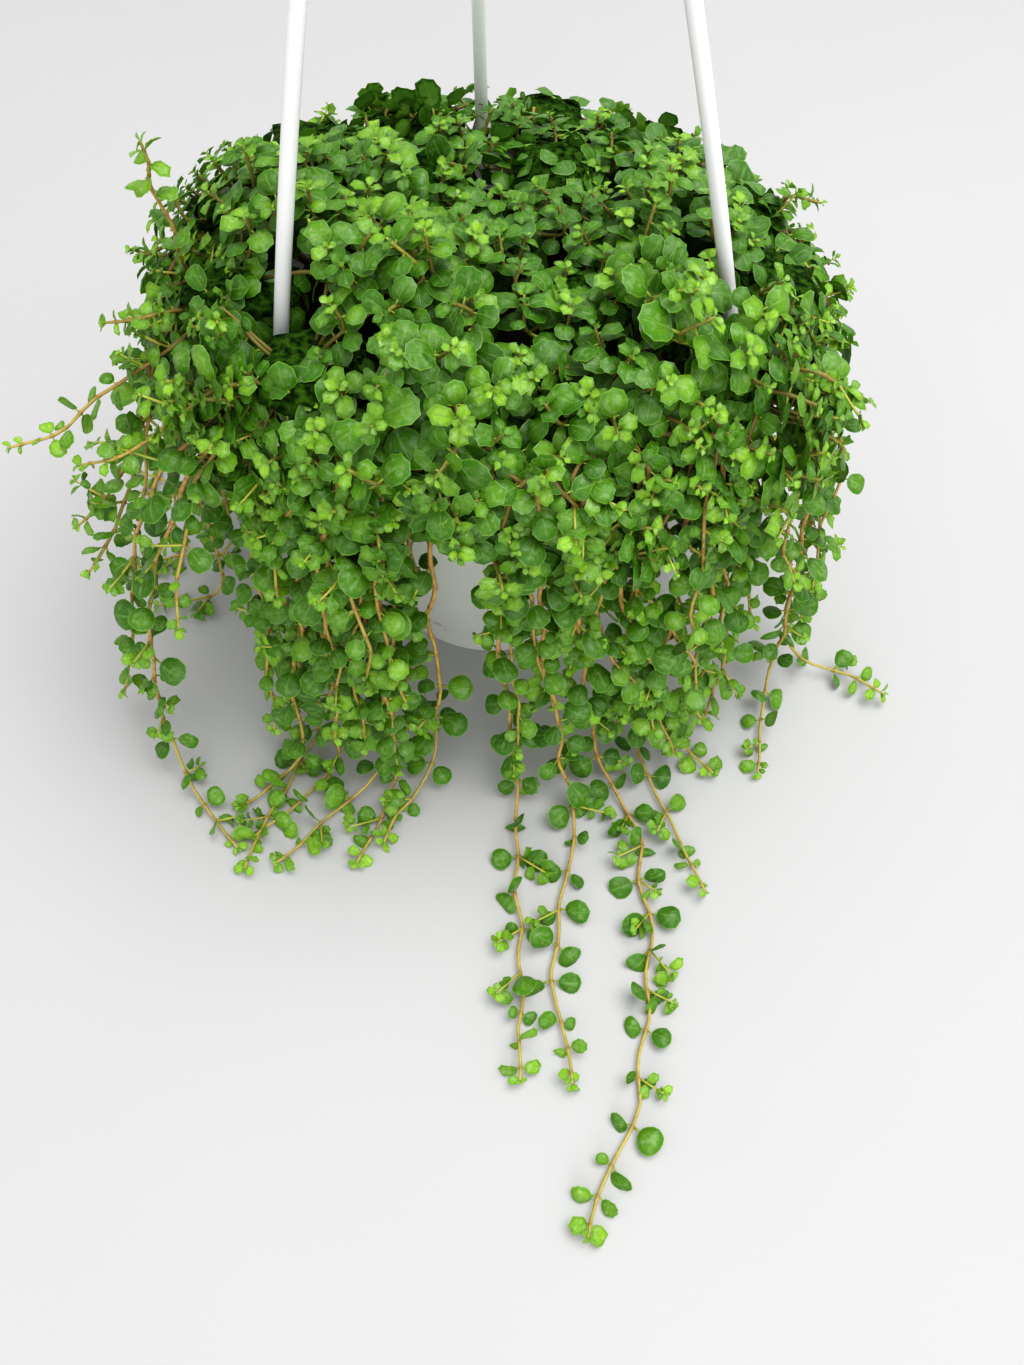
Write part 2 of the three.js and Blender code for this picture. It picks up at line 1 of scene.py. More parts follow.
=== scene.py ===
"""A creeping pilea in a white hanging pot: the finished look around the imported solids.

Shapes are worked out in millimetres in the row's frame, +Z up, with the origin at the centre of
the pot's base, and are scaled to metres as each mesh is made. Azimuths are in degrees, from +Y
(the back) towards +X (the right).
"""

import itertools
import math

import bmesh
import bpy
import numpy as np
from mathutils import Matrix, Vector, noise


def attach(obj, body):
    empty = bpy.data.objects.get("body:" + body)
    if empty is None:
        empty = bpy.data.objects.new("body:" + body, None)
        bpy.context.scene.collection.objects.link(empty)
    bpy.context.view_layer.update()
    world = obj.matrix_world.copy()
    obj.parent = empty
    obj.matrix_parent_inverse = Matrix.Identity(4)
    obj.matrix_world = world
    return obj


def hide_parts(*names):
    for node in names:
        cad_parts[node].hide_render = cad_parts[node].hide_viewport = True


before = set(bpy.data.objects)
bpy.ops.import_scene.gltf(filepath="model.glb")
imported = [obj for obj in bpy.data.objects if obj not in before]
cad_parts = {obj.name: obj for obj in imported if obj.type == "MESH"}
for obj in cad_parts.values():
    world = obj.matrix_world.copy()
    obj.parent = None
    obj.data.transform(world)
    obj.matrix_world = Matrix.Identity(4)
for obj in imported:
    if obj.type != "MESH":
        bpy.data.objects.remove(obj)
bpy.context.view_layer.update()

MM = 0.001
UP = np.array([0.0, 0.0, 1.0])

# Pot and soil
POT_HEIGHT = 132.0
RIM_RADIUS = 76.0
RIM_INNER_RADIUS = 67.0
RIM_THICKNESS = 2.4
BAND_HEIGHT = 14.0
BAND_THICKNESS = 1.8
BASE_RADIUS = 41.0
WALL = 2.0
FLOOR_THICKNESS = 3.0
POT_SEGMENTS = 120
DRAIN_COUNT = 4
DRAIN_RADIUS = 3.0
DRAIN_RING = 24.0
SOIL_TOP = POT_HEIGHT - 12.0

# Hanger
ROD_RADIUS = 2.05
ROD_AZIMUTHS = {"back": -8.0, "right": 112.0, "left": -128.0}
ROD_BOW = 4.0
FOOT_RING = 71.4
FOOT_COLLAR_RADIUS = 3.6
PIN_RADIUS = 1.2
PIN_HOLE_RADIUS = 1.7
PIN_HEAD_RADIUS = 2.0
HUB_PLACE = np.array([-12.0, 0.0, POT_HEIGHT + 232.0])
HUB_RADIUS = 7.0
HOOK_RADIUS = 15.0
HOOK_SHANK = 16.0
HOOK_WIRE_RADIUS = 2.4

# Tufts of the mound
INNER_COUNT = 6
INNER_RING = 37.0
INNER_TURN = 22.0
INNER_WIDTH = 15.5
OUTER_COUNT = 12
OUTER_RING = 74.0
OUTER_WIDTH = 18.0
FRONT_RING = 70.0
FRONT_AZIMUTH = 172.0
FRONT_HALF = 20.0
TUFT_WIDTH = 15.0
ROOT_RING = 57.0
TUFT_SEED = 11

# Trailing stems given one by one: the azimuth where each leaves the mound, then its route
PLACED_STEMS = [
    (163, [(30, -86, 95), (34, -87, 47), (44, -89, 10), (52, -101, 4), (57, -126, 4), (59, -156, 4),
           (58, -181, 4), (53, -205, 4), (46, -223, 4), (42, -235, 6)]),
    (178, [(4, -88, 100), (9, -91, 50), (12, -95, 12), (15, -115, 5), (17, -139, 4), (19, -159, 4),
           (20, -174, 4), (22, -195, 6)]),
    (170, [(19, -88, 90), (26, -94, 35), (33, -102, 8), (34, -118, 5), (31, -139, 4), (29, -159, 4),
           (32, -177, 4), (37, -195, 6)]),
    (-136, [(-82, -76, 110), (-98, -82, 70), (-102, -91, 22), (-96, -104, 8), (-84, -118, 4),
            (-74, -128, 4)]),
    (-162, [(-31, -88, 100), (-30, -92, 50), (-28, -95, 14), (-42, -106, 6), (-54, -120, 5),
            (-63, -131, 5)]),
    (-150, [(-50, -84, 95), (-56, -92, 45), (-59, -97, 10), (-69, -107, 5), (-79, -111, 5)]),
    (-172, [(-13, -88, 90), (-12, -88, 40), (-12, -90, 12), (-19, -105, 6), (-24, -112, 5),
            (-27, -122, 5)]),
    (-117, [(-106, -53, 126), (-116, -60, 121), (-127, -68, 120)]),
    (-110, [(-99, -46, 108), (-106, -58, 90), (-116, -75, 78)]),
    (-132, [(-92, -68, 122), (-107, -69, 117)]),
    (-112, [(-90, -40, 145), (-102, -42, 144)]),
    (-100, [(-84, -20, 158), (-86, -22, 170), (-86, -26, 184)]),
    (70, [(84, 30, 144), (95, 36, 140)]),
    (92, [(88, -2, 138), (98, 1, 131)]),
    (119, [(86, -44, 143), (96, -38, 133), (104, -34, 126)]),
    (116, [(94, -46, 110), (98, -44, 73), (102, -47, 42), (102, -52, 10), (101, -66, 5),
           (98, -87, 5)]),
    (106, [(97, -26, 110), (106, -30, 60), (110, -34, 12), (126, -43, 7), (145, -53, 7)]),
    (128, [(74, -58, 105), (79, -60, 55), (80, -64, 14), (79, -69, 6)]),
    (152, [(36, -82, 110), (50, -82, 67), (60, -82, 35), (68, -85, 10)]),
]

# Trailing stems that are placed by rule: from, to, how many, how far they spread, seed
STEM_RANGES = [
    (-168, -140, 4, 10, 21),
    (-106, -76, 4, 22, 22),
    (-64, 80, 11, 18, 23),
    (134, 148, 2, 4, 24),
]
RULED_RING = 92.0
LANDING_SHARE = 0.6
CREST_RING = 87.0
CREST_RISE = 9.0

# Camera: eye in metres, pitch below the horizon, roll, lens and sensor
EYE = (0.011, -0.273, 0.337)
PITCH = 57.0
ROLL = 3.6
LENS = 29.0
SENSOR = 36.0


def unit(vector):
    return vector / max(float(np.linalg.norm(vector)), 1e-9)


def polar(radius, azimuth, z):
    angle = math.radians(azimuth)
    return np.array([radius * math.sin(angle), radius * math.cos(angle), z])


def mix(a, b, share):
    return a + (b - a) * share


def turned(vector, axis, angle):
    """vector turned about a unit axis."""
    cosine = math.cos(angle)
    return (vector * cosine + np.cross(axis, vector) * math.sin(angle)
            + axis * float(np.dot(axis, vector)) * (1 - cosine))


def square_to(vector, axis):
    """The part of vector that is square to a unit axis, as a unit vector."""
    return unit(vector - axis * float(np.dot(vector, axis)))


def seeded(seed):
    """Random draws that repeat from a seed, the same as in the part's own source."""
    state = seed & 0xFFFFFFFF

    def draw():
        nonlocal state
        state = (state + 0x6D2B79F5) & 0xFFFFFFFF
        t = ((state ^ (state >> 15)) * (1 | state)) & 0xFFFFFFFF
        t = ((t + (((t ^ (t >> 7)) * (61 | t)) & 0xFFFFFFFF)) & 0xFFFFFFFF) ^ t
        return ((t ^ (t >> 14)) & 0xFFFFFFFF) / 4294967296

    return draw


def wall_radius(z):
    return mix(BASE_RADIUS, RIM_INNER_RADIUS + WALL, z / POT_HEIGHT)


class Route:
    """A smooth line through points, followed by its length."""

    SPAN_STEPS = 16

    def __init__(self, points, is_smooth=False):
        knots = [np.array(p, float) for p in points]
        self.points = np.array(knots) if is_smooth else self.smooth(knots)
        steps = np.linalg.norm(np.diff(self.points, axis=0), axis=1)
        self.marks = np.concatenate([[0.0], np.cumsum(steps)])
        self.length = float(self.marks[-1])

    def smooth(self, knots):
        """A centripetal Catmull-Rom curve through the knots."""
        padded = [2 * knots[0] - knots[1], *knots, 2 * knots[-1] - knots[-2]]
        made = []
        for p0, p1, p2, p3 in zip(padded, padded[1:], padded[2:], padded[3:]):
            d0, d1, d2 = (math.sqrt(max(np.linalg.norm(b - a), 1e-6))
                          for a, b in ((p0, p1), (p1, p2), (p2, p3)))
            start = ((p1 - p0) / d0 - (p2 - p0) / (d0 + d1) + (p2 - p1) / d1) * d1
            end = ((p2 - p1) / d1 - (p3 - p1) / (d1 + d2) + (p3 - p2) / d2) * d1
            for step in range(self.SPAN_STEPS):
                t = step / self.SPAN_STEPS
                made.append(p1 + start * t + (3 * (p2 - p1) - 2 * start - end) * t * t
                            + (2 * (p1 - p2) + start + end) * t ** 3)
        made.append(knots[-1])
        return np.array(made)

    def at(self, distance):
        return np.array([np.interp(distance, self.marks, self.points[:, i]) for i in range(3)])

    def heading(self, distance):
        low = self.at(max(0.0, distance - 1.0))
        high = self.at(min(self.length, distance + 1.0))
        return unit(high - low)


def placed(name, data):
    """A new object in the scene."""
    made = bpy.data.objects.new(name, data)
    bpy.context.collection.objects.link(made)
    return made


def move(piece, place):
    piece.data.transform(Matrix.Translation(Vector(place * MM)))


def smooth_mesh(name, points, faces):
    """A smooth mesh from points in millimetres."""
    mesh = bpy.data.meshes.new(name)
    mesh.from_pydata((np.array(points) * MM).tolist(), [], faces)
    mesh.polygons.foreach_set("use_smooth", np.ones(len(mesh.polygons), bool))
    return mesh


# The third value of a place is 1 on the edge of a leaf
RIM_PLACE = 0.999


class Piece:
    """Gathers the faces of one object, with the values that its materials read at each point."""

    def __init__(self, name):
        self.name = name
        self.parts = []
        self.count = 0

    def add(self, points, faces, kind, places, tones):
        self.parts.append((points, faces + self.count, np.full(len(faces), kind), places, tones))
        self.count += len(points)

    def finish(self, materials):
        points, faces, kinds, places, tones = map(np.concatenate, zip(*self.parts))
        mesh = smooth_mesh(self.name, points, faces.tolist())
        mesh.polygons.foreach_set("material_index", kinds.astype(np.int32))
        for label, values in (("place", places), ("tone", tones)):
            layer = mesh.attributes.new(label, "FLOAT_VECTOR", "POINT")
            layer.data.foreach_set("vector", values.astype(np.float32).ravel())
        for material in materials:
            mesh.materials.append(material)
        ends = np.empty(len(mesh.edges) * 2, np.int32)
        mesh.edges.foreach_get("vertices", ends)
        is_rim = places[:, 2] > RIM_PLACE
        sharp = mesh.attributes.new("sharp_edge", "BOOLEAN", "EDGE")
        sharp.data.foreach_set("value", is_rim[ends.reshape(-1, 2)].all(axis=1))
        mesh.update()
        return placed(self.name, mesh)


def tube_faces(rings, sides):
    """The faces of a closed tube whose points are listed ring by ring."""
    faces = []
    for a in range(0, (rings - 1) * sides, sides):
        b = a + sides
        for i in range(sides):
            j = (i + 1) % sides
            faces += [(a + i, a + j, b + j), (a + i, b + j, b + i)]
    last = (rings - 1) * sides
    for i in range(1, sides - 1):
        faces += [(0, i + 1, i), (last, last + i, last + i + 1)]
    return np.array(faces)


def add_tube(piece, centres, radii, sides, kind, tones):
    """A closed tube with the given middle points, radii and tones."""
    centres = np.array(centres)
    headings = np.gradient(centres, axis=0)
    side = square_to(np.array([0.31, 0.52, 0.79]), unit(headings[0]))
    points = []
    for centre, heading, radius in zip(centres, headings, radii):
        axis = unit(heading)
        side = square_to(side, axis)
        other = np.cross(axis, side)
        for i in range(sides):
            angle = 2 * math.pi * i / sides
            points.append(centre + (side * math.cos(angle) + other * math.sin(angle)) * radius)
    points = np.array(points)
    piece.add(points, tube_faces(len(centres), sides), kind, np.zeros_like(points),
              np.repeat(np.array(tones, float), sides, axis=0))


# Leaf forms, in shares of the blade's length

UNDER_SIDE = -3.0
ON_STALK = (-1.0, 0.0, 0.0)
BASE_REACH = 0.53
TIP_REACH = 0.47
TOOTHED_BEND = 2.3
UNEVENNESS = 0.02
TAPER = 0.12
THICKNESS = 0.05
DOME_POWER = 2.6
RIDGE = 1.6
GROOVE = 0.4
GROOVE_WIDTH = 0.08
WAVER = 0.03
CURL_FROM = 0.35
STALK_DROP = 0.03
STALK_OVERLAP = 0.06
STALK_FOOT = 0.055
STALK_HEAD = 0.038


class LeafForm:
    """One closed leaf of unit length: a domed blade with a scalloped edge on a short stalk."""

    def __init__(self, spokes, inner, width, teeth, dome, quilt, fold, curl, stalk, seed):
        draw = np.random.default_rng(seed)
        index = np.arange(spokes)
        turn = 2 * np.pi * index / spokes
        bend = np.abs(np.where(turn > np.pi, turn - 2 * np.pi, turn))
        reach = 1 + np.where(bend < TOOTHED_BEND, teeth * np.cos(np.pi * index), 0)
        reach *= 1 + UNEVENNESS * draw.standard_normal(spokes)
        x = np.where(np.cos(turn) > 0, TIP_REACH, BASE_REACH) * np.cos(turn) * reach
        y = 0.5 * width * np.sin(turn) * reach * (1 + TAPER * np.cos(turn))
        wave = draw.uniform(0, 2 * np.pi)
        points, places = [], []

        def height(px, py, edge, spoke):
            ridge = quilt * np.cos(np.pi * spoke) * edge * (1 - edge ** 4) * -RIDGE
            groove = -GROOVE * quilt * np.exp(-(py / GROOVE_WIDTH) ** 2)
            waver = WAVER * edge ** 2 * math.sin(3 * turn[spoke] + wave)
            return (dome * (1 - edge ** DOME_POWER) + ridge + groove + waver + fold * np.abs(py)
                    - curl * np.maximum(px - CURL_FROM, 0) ** 2)

        def put(edge, spoke):
            px = BASE_REACH + x[spoke] * edge
            py = y[spoke] * edge
            points.append((stalk + px, py, height(px, py, edge, spoke)))
            places.append((px, py, edge))

        put(0.0, 0)
        for edge in (inner, 1.0):
            for spoke in range(spokes):
                put(edge, spoke)
        points.append((points[0][0], points[0][1], points[0][2] - THICKNESS))
        places.append((*places[0][:2], UNDER_SIDE))
        rim = 1 + spokes
        under = rim + spokes
        faces = []
        for i in range(spokes):
            j = (i + 1) % spokes
            faces += [(0, 1 + i, 1 + j), (1 + i, rim + i, rim + j), (1 + i, rim + j, 1 + j),
                      (under, rim + j, rim + i)]
        foot = (0.0, -STALK_DROP, STALK_FOOT)
        head = (stalk + STALK_OVERLAP, height(0.05, 0.0, 0.95, 0), STALK_HEAD)
        for px, pz, size in (foot, head):
            for py, lift in ((size, -0.5 * size), (0, size), (-size, -0.5 * size)):
                points.append((px, py, pz + lift))
                places.append(ON_STALK)
        self.points = np.array(points)
        self.places = np.array(places)
        self.faces = np.concatenate([faces, under + 1 + tube_faces(2, 3)])
        self.reach = stalk + 1.0
        self.stalk = stalk


# Width, teeth, dome, quilting, fold and curl
GROWN_SHAPES = [
    (0.96, 0.040, 0.11, 0.020, 0.04, 0.3),
    (0.88, 0.050, 0.08, 0.028, 0.14, 0.2),
    (1.02, 0.030, 0.13, 0.016, -0.08, 0.45),
    (0.92, 0.045, 0.05, 0.030, 0.2, 0.1),
    (0.98, 0.040, 0.09, 0.024, -0.03, 0.6),
]
# Width and teeth
YOUNG_SHAPES = [(0.84, 0.08), (0.92, 0.095), (0.78, 0.07)]
TIP_SHAPES = [(0.72, 0.1), (0.82, 0.12)]


def leaf_forms():
    """Scalloped grown leaves, round ones of the long stems, lower ones, young ones and tips."""
    grown, round_ones, lower = [], [], []
    for i, (width, teeth, dome, quilt, fold, curl) in enumerate(GROWN_SHAPES):
        grown.append(LeafForm(18, 0.62, width, teeth, dome, quilt, fold, curl, 0.26, 50 + i))
        lower.append(LeafForm(12, 0.62, width, 0.03, dome, 0.01, fold, curl, 0.22, 80 + i))
        round_ones.append(LeafForm(16, 0.68, width + 0.06, 0.015 + 0.3 * (teeth - 0.03),
                                   dome + 0.05, 0.008, fold * 0.4, curl * 0.5, 0.3, 90 + i))
    young = [LeafForm(12, 0.6, width, teeth, 0.06, 0.05, 0.2, 0.35, 0.14, 60 + i)
             for i, (width, teeth) in enumerate(YOUNG_SHAPES)]
    tip = [LeafForm(8, 0.6, width, teeth, 0.04, 0.03, 0.35, 0.2, 0.08, 70 + i)
           for i, (width, teeth) in enumerate(TIP_SHAPES)]
    return {"grown": grown, "round": round_ones, "lower": lower, "young": young, "tip": tip}


FORMS = leaf_forms()
LEAF = 0
STEM = 1
SHADE = 2


# Room for leaves

CELL = 5.0
CROWDING = 0.16
MARGIN = 0.4
SOIL_MARGIN = 0.5
WALL_MARGIN = 0.6
ROD_MARGIN = 0.7
taken = {}


def rod_line(azimuth):
    foot = polar(FOOT_RING, azimuth, POT_HEIGHT + 3)
    return np.array([mix(foot, HUB_PLACE, along)
                     + polar(ROD_BOW * 4 * along * (1 - along), azimuth, 0)
                     for along in np.linspace(0, 1, 13)])


ROD_LINES = {name: rod_line(azimuth) for name, azimuth in ROD_AZIMUTHS.items()}
ROD_LOWER = [Route(line[:7]).points for line in ROD_LINES.values()]
ROD_POINTS = np.concatenate([part for line in ROD_LOWER
                             for part in (line, (line[1:] + line[:-1]) / 2)])

# The feet of the front rods stand clear of leaves
CLEARINGS = [polar(FOOT_RING, ROD_AZIMUTHS[name], 0) - np.array([0.0, 4.0, 0.0])
             for name in ("right", "left")]
CLEARING_RADIUS = 8.0
CLEARING_FLARE = 0.75
CLEARING_RISE = 6.0

# Where the wall of the pot shows between the hanging stems: azimuths and heights
WINDOW_AZIMUTH = -175.2
WINDOW_HALF = 3.6
WINDOW_TOP = 128.0
WINDOW_BOTTOM = 50.0


def angle_between(a, b):
    return abs(((a - b + 540) % 360) - 180)


def in_pot_window(point):
    azimuth = math.degrees(math.atan2(point[0], point[1]))
    return (angle_between(azimuth, WINDOW_AZIMUTH) < WINDOW_HALF
            and WINDOW_BOTTOM < point[2] < WINDOW_TOP)


def in_pot_or_rod(point):
    """True where a point lies in the pot, the soil or a rod, or in the clearing at a rod's foot."""
    x, y, z = point
    radius = math.hypot(x, y)
    clear = min(CLEARING_RADIUS, CLEARING_FLARE * (z - POT_HEIGHT - CLEARING_RISE))
    if any(math.hypot(x - foot[0], y - foot[1]) < clear for foot in CLEARINGS):
        return True
    if z < POT_HEIGHT + MARGIN:
        if z > POT_HEIGHT - BAND_HEIGHT - SOIL_MARGIN:
            if RIM_INNER_RADIUS - MARGIN < radius < RIM_RADIUS + MARGIN:
                return True
            if radius <= RIM_INNER_RADIUS - MARGIN and z < SOIL_TOP + SOIL_MARGIN:
                return True
        elif radius < wall_radius(z) + WALL_MARGIN:
            return True
    if z > POT_HEIGHT - 2:
        gaps = ROD_POINTS - point
        return float((gaps * gaps).sum(axis=1).min()) < (ROD_RADIUS + ROD_MARGIN) ** 2
    return False


def cell_of(centre):
    return tuple(int(v // CELL) for v in centre)


def has_room(centre, size):
    near = itertools.product(*((v - 1, v, v + 1) for v in cell_of(centre)))
    return all(np.linalg.norm(centre - other) >= CROWDING * (size + other_size)
               for cell in near for other, other_size in taken.get(cell, ()))


LEAF_HALF_WIDTH = 0.45
LOWEST_LEAF = 0.25
FLATTENED_LEAF = 0.22


def add_leaf(piece, base, along, facing, size, form, age, random):
    """Adds a leaf that grows from base, unless it would cut the pot, a rod or another leaf."""
    x = unit(along)
    z = square_to(facing, x)
    y = np.cross(z, x)
    shape = FORMS[form][int(random.integers(len(FORMS[form])))]
    centre = base + x * size * (shape.stalk + 0.5)
    tip = base + x * size * shape.reach
    sides = [centre + y * size * LEAF_HALF_WIDTH, centre - y * size * LEAF_HALF_WIDTH]
    if not has_room(centre, size) or in_pot_window(centre) or in_pot_window(tip):
        return False
    if any(in_pot_or_rod(p) for p in (centre, tip, *sides)):
        return False
    taken.setdefault(cell_of(centre), []).append((centre, size))
    local = shape.points * size
    points = base + np.outer(local[:, 0], x) + np.outer(local[:, 1], y) + np.outer(local[:, 2], z)
    heights = points[:, 2]
    low = float(heights.min())
    if low < LOWEST_LEAF:
        heights += (LOWEST_LEAF - low) * np.clip(shape.points[:, 0] / shape.reach, 0, 1)
        points[:, 2] = np.maximum(heights, FLATTENED_LEAF + 0.1 * (heights - heights.min()))
    tone = np.empty((len(points), 3))
    tone[:] = (age, random.random(), random.random())
    piece.add(points, shape.faces, LEAF, shape.places, tone)
    return True


# Swelling and darkness of a stem before, at and after a node
NODE_SWELLS = [(-1.0, 1.08, 0.35), (0.0, 1.38, 1.0), (1.0, 1.05, 0.3)]
NODE_SPAN = 1.8
END_SPAN = 1.5
END_SWELL = 0.7
# Painted shade: a stem is painted darker over its first stretch, inside the tuft, fully for half
# this length and not at all past one and a half times it
PAINTED_SHADE_LENGTH = 28.0


def add_stem(piece, route, start, end, radius, tip_radius, nodes, age, tip_age, sides=5, step=5.0,
             has_painted_shade=True):
    """A stem along a route, swollen at its nodes."""
    marks = [(d, 1.0, 0.0) for d in np.arange(start, end, step)
             if all(abs(d - node) > NODE_SPAN for node in nodes)]
    marks.append((end, END_SWELL, 0.0))
    for node in nodes:
        if start + END_SPAN < node < end - END_SPAN:
            marks += [(node + shift, swell, dark) for shift, swell, dark in NODE_SWELLS]
    marks.sort()
    centres, radii, tones = [], [], []
    for distance, swell, node in marks:
        share = (distance - start) / max(end - start, 1e-6)
        centres.append(route.at(distance))
        radii.append(mix(radius, tip_radius, share) * swell)
        # Painted shade near the stem's start, where it lies inside the tuft; side shoots have none
        painted_shade = float(np.clip(1.5 - distance / PAINTED_SHADE_LENGTH, 0, 1)) if has_painted_shade else 0.0
        tones.append((mix(age, tip_age, share ** 2), node, painted_shade))
    add_tube(piece, centres, radii, sides, STEM, tones)


# Tufts and stems, as in the solids

class Tuft:
    """One tuft of the mound, and the heart where its stems meet, lower where the mound is."""

    def __init__(self, name, azimuth, ring, rise, size, root_ring):
        self.name = name
        self.piece = Piece(name.replace("tuft", "shoots"))
        self.azimuth = azimuth
        self.is_outer = name.startswith("tuft_outer")
        self.size = np.array(size)
        self.root = polar(root_ring, azimuth, SOIL_TOP - 3)
        self.centre = polar(ring, azimuth, POT_HEIGHT + rise)
        self.drop = canopy_drop(azimuth) if self.is_outer else 0.0
        heart_height = max(self.centre[2] - HEART_DROP - 0.9 * self.drop, POT_HEIGHT + 5)
        self.heart = polar(ring, azimuth, heart_height)


def tuft_list():
    draw = seeded(TUFT_SEED)
    tufts = [Tuft("tuft_middle", 0.0, -2.0, 17, (TUFT_WIDTH, TUFT_WIDTH, 14.0), 0.0)]
    for i in range(INNER_COUNT):
        tufts.append(Tuft(f"tuft_inner_{i + 1}", INNER_TURN + 360 * i / INNER_COUNT, INNER_RING,
                          12 + 5 * draw(), (INNER_WIDTH, INNER_WIDTH, 13 + 2 * draw()),
                          INNER_RING))
    for i in range(OUTER_COUNT):
        azimuth = ROD_AZIMUTHS["back"] + 360 * (i + 0.5) / OUTER_COUNT
        ring, width = OUTER_RING, OUTER_WIDTH
        if abs(azimuth - FRONT_AZIMUTH) < FRONT_HALF:
            ring, width = FRONT_RING, TUFT_WIDTH
        tufts.append(Tuft(f"tuft_outer_{i + 1}", azimuth, ring, 14 + 4 * draw(),
                          (TUFT_WIDTH, width, 11 + draw()), ROOT_RING))
    return tufts


def ruled_stems():
    stems = []
    for low, high, count, spread, seed in STEM_RANGES:
        draw = seeded(seed)
        for i in range(count):
            azimuth = mix(low, high, (i + 0.25 + 0.5 * draw()) / count)
            ring = RULED_RING + spread * draw()
            end = 5 if draw() < LANDING_SHARE else 10 + 60 * draw()
            run = 0 if end > 5 else 15 + 45 * draw()
            turn = 10 * (draw() - 0.5)
            route = [polar(ring, azimuth, POT_HEIGHT - 22),
                     polar(ring + 4, azimuth + turn * 0.4, (POT_HEIGHT + end) / 2 - 10),
                     polar(ring + 6, azimuth + turn, end + 3)]
            if run > 0:
                route += [polar(ring + 6 + run * 0.5, azimuth + turn * 1.5, 4),
                          polar(ring + 6 + run, azimuth + turn * 2.2, 5)]
            stems.append((azimuth, route))
    return stems


def home_tuft(tufts, azimuth):
    outer = [tuft for tuft in tufts if tuft.is_outer]
    return min(outer, key=lambda tuft: angle_between(tuft.azimuth, azimuth))


SURFACE_BAND = 12.0
SETTLE_SPAN = 6.0
SETTLE_DROP = 1.9
HEART_DROP = 6.0
SWAY = 3.2
SWAY_LENGTH = 17.0
SWAY_STEPS = 12
LIFT_FROM = 14.0
LOWEST_MIDDLE = 1.3


def settle(points):
    """Lets the stretch of a stem near the surface come down on it."""
    points = np.array(points, float)
    points[:, 2] -= SETTLE_DROP * np.clip((SURFACE_BAND - points[:, 2]) / SETTLE_SPAN, 0, 1)
    return points


def stem_route(azimuth, route, tuft):
    """A hanging stem's line from its tuft over the crest, with a little sway."""
    start = mix(tuft.heart, polar(CREST_RING, tuft.azimuth, tuft.heart[2]), 0.3)
    crest = polar(CREST_RING, azimuth, POT_HEIGHT + CREST_RISE - 0.4 * canopy_drop(azimuth))
    made = Route([start, crest, *route])
    points = settle(made.points)
    angle = math.radians(azimuth)
    across = np.array([math.cos(angle), -math.sin(angle), 0.0])
    for i, place in enumerate(made.marks):
        sway, lift = (noise.noise(Vector((place / SWAY_LENGTH, azimuth, layer)))
                      for layer in (0.5, 7.5))
        grip = min(1.0, i / SWAY_STEPS)
        points[i] += across * sway * SWAY * grip
        if points[i][2] > LIFT_FROM:
            points[i] += outward_of(points[i]) * max(0.0, lift) * SWAY * grip
        points[i][2] = max(points[i][2], LOWEST_MIDDLE)
    return Route(points, is_smooth=True)


# Shoots

SMALL_SHARE = 0.16
SMALL_SIZE = 0.62
PHASE_SPREAD = 0.35
LIGHT_TURN = 0.55
AGE_SPREAD = 0.1
SIZE_SPREAD = 0.16

# A tip's crown: distance below it, turn, share of the leaf size, form, added age and lean
CROWN = [(0.0, 0.0, 0.48, "tip", 0.25, 1.1), (0.8, math.pi / 2, 0.72, "young", 0.12, 0.6)]

# The nodes of a shoot of the mound: distance from its tip, leaf size and form
MOUND_NODES = [(2.0, 5.4, "young"), (4.6, 6.6, "grown"), (8.0, 7.4, "grown"),
               (11.8, 7.6, "lower"), (16.0, 7.6, "lower")]
CROWN_SIZE = 5.2
SHOOT_BEND = 0.45
SHOOT_SPREAD = 0.12
SHORT_SHOOT = 6

SIDE_LENGTH = (4, 13)
SIDE_LOWEST = 2.0
SIDE_SIZE = 4.3
SIDE_FIRST_GAP = 2.6
SIDE_GAP = 3.6

# Hanging stems: place of the first leaf, gap between pairs, leaf size, brightness of the tip,
# share of nodes with a side shoot, radius
LONG_STEM = (7, 9.0, 7.3, 0.95, 0.55, 0.75)
SPRIG = (7, 6.5, 6.0, 0.95, 0.2, 0.6)
BESIDE_STEM = (4, 9.5, 6.8, 0.85, 0.4, 0.65)
SPRIG_LENGTH = 75
TIP_GAP = 3.5
SURFACE_GAP = 1.45
CLOSE_GAP = 0.62
CLOSE_LENGTH = 14
DENSE_GAP = 0.65
DENSE_LENGTH = 36.0
DENSE_SIZE = 0.86
YOUNG_LENGTH = 22


def outward_of(point):
    return unit(np.array([point[0], point[1], 0.0]))


def light_ward(point, random, axis=None):
    """The way a leaf's face turns: up and out from the pot, and a little by chance."""
    if axis is not None:
        return unit(0.35 * outward_of(point) + 0.5 * UP + axis + 0.2 * random.standard_normal(3))
    return unit(0.7 * outward_of(point) + UP + 0.45 * random.standard_normal(3))


def pair_frames(heading, phase):
    """The directions of the two leaves of a pair about a stem."""
    across = square_to(UP if abs(heading[2]) < 0.9 else np.array([0.0, 1.0, 0.0]), heading)
    first = turned(across, heading, phase)
    return first, -first


def add_pair(piece, point, heading, phase, size, form, age, lean, random, face=None):
    """Two opposite leaves, each with its face turned to the light; says how many grew."""
    grown = 0
    for way in pair_frames(heading, phase + PHASE_SPREAD * random.standard_normal()):
        light = light_ward(point, random, face)
        along = unit(way + heading * lean)
        along = unit(along - LIGHT_TURN * float(np.dot(along, light)) * light)
        leaf_age = float(np.clip(age + AGE_SPREAD * random.standard_normal(), 0, 1))
        leaf_size = size * float(np.clip(1 + SIZE_SPREAD * random.standard_normal(), 0.6, 1.25))
        if random.random() < SMALL_SHARE:
            leaf_size *= SMALL_SIZE
        grown += add_leaf(piece, point, along, light, leaf_size, form, leaf_age, random)
    return grown


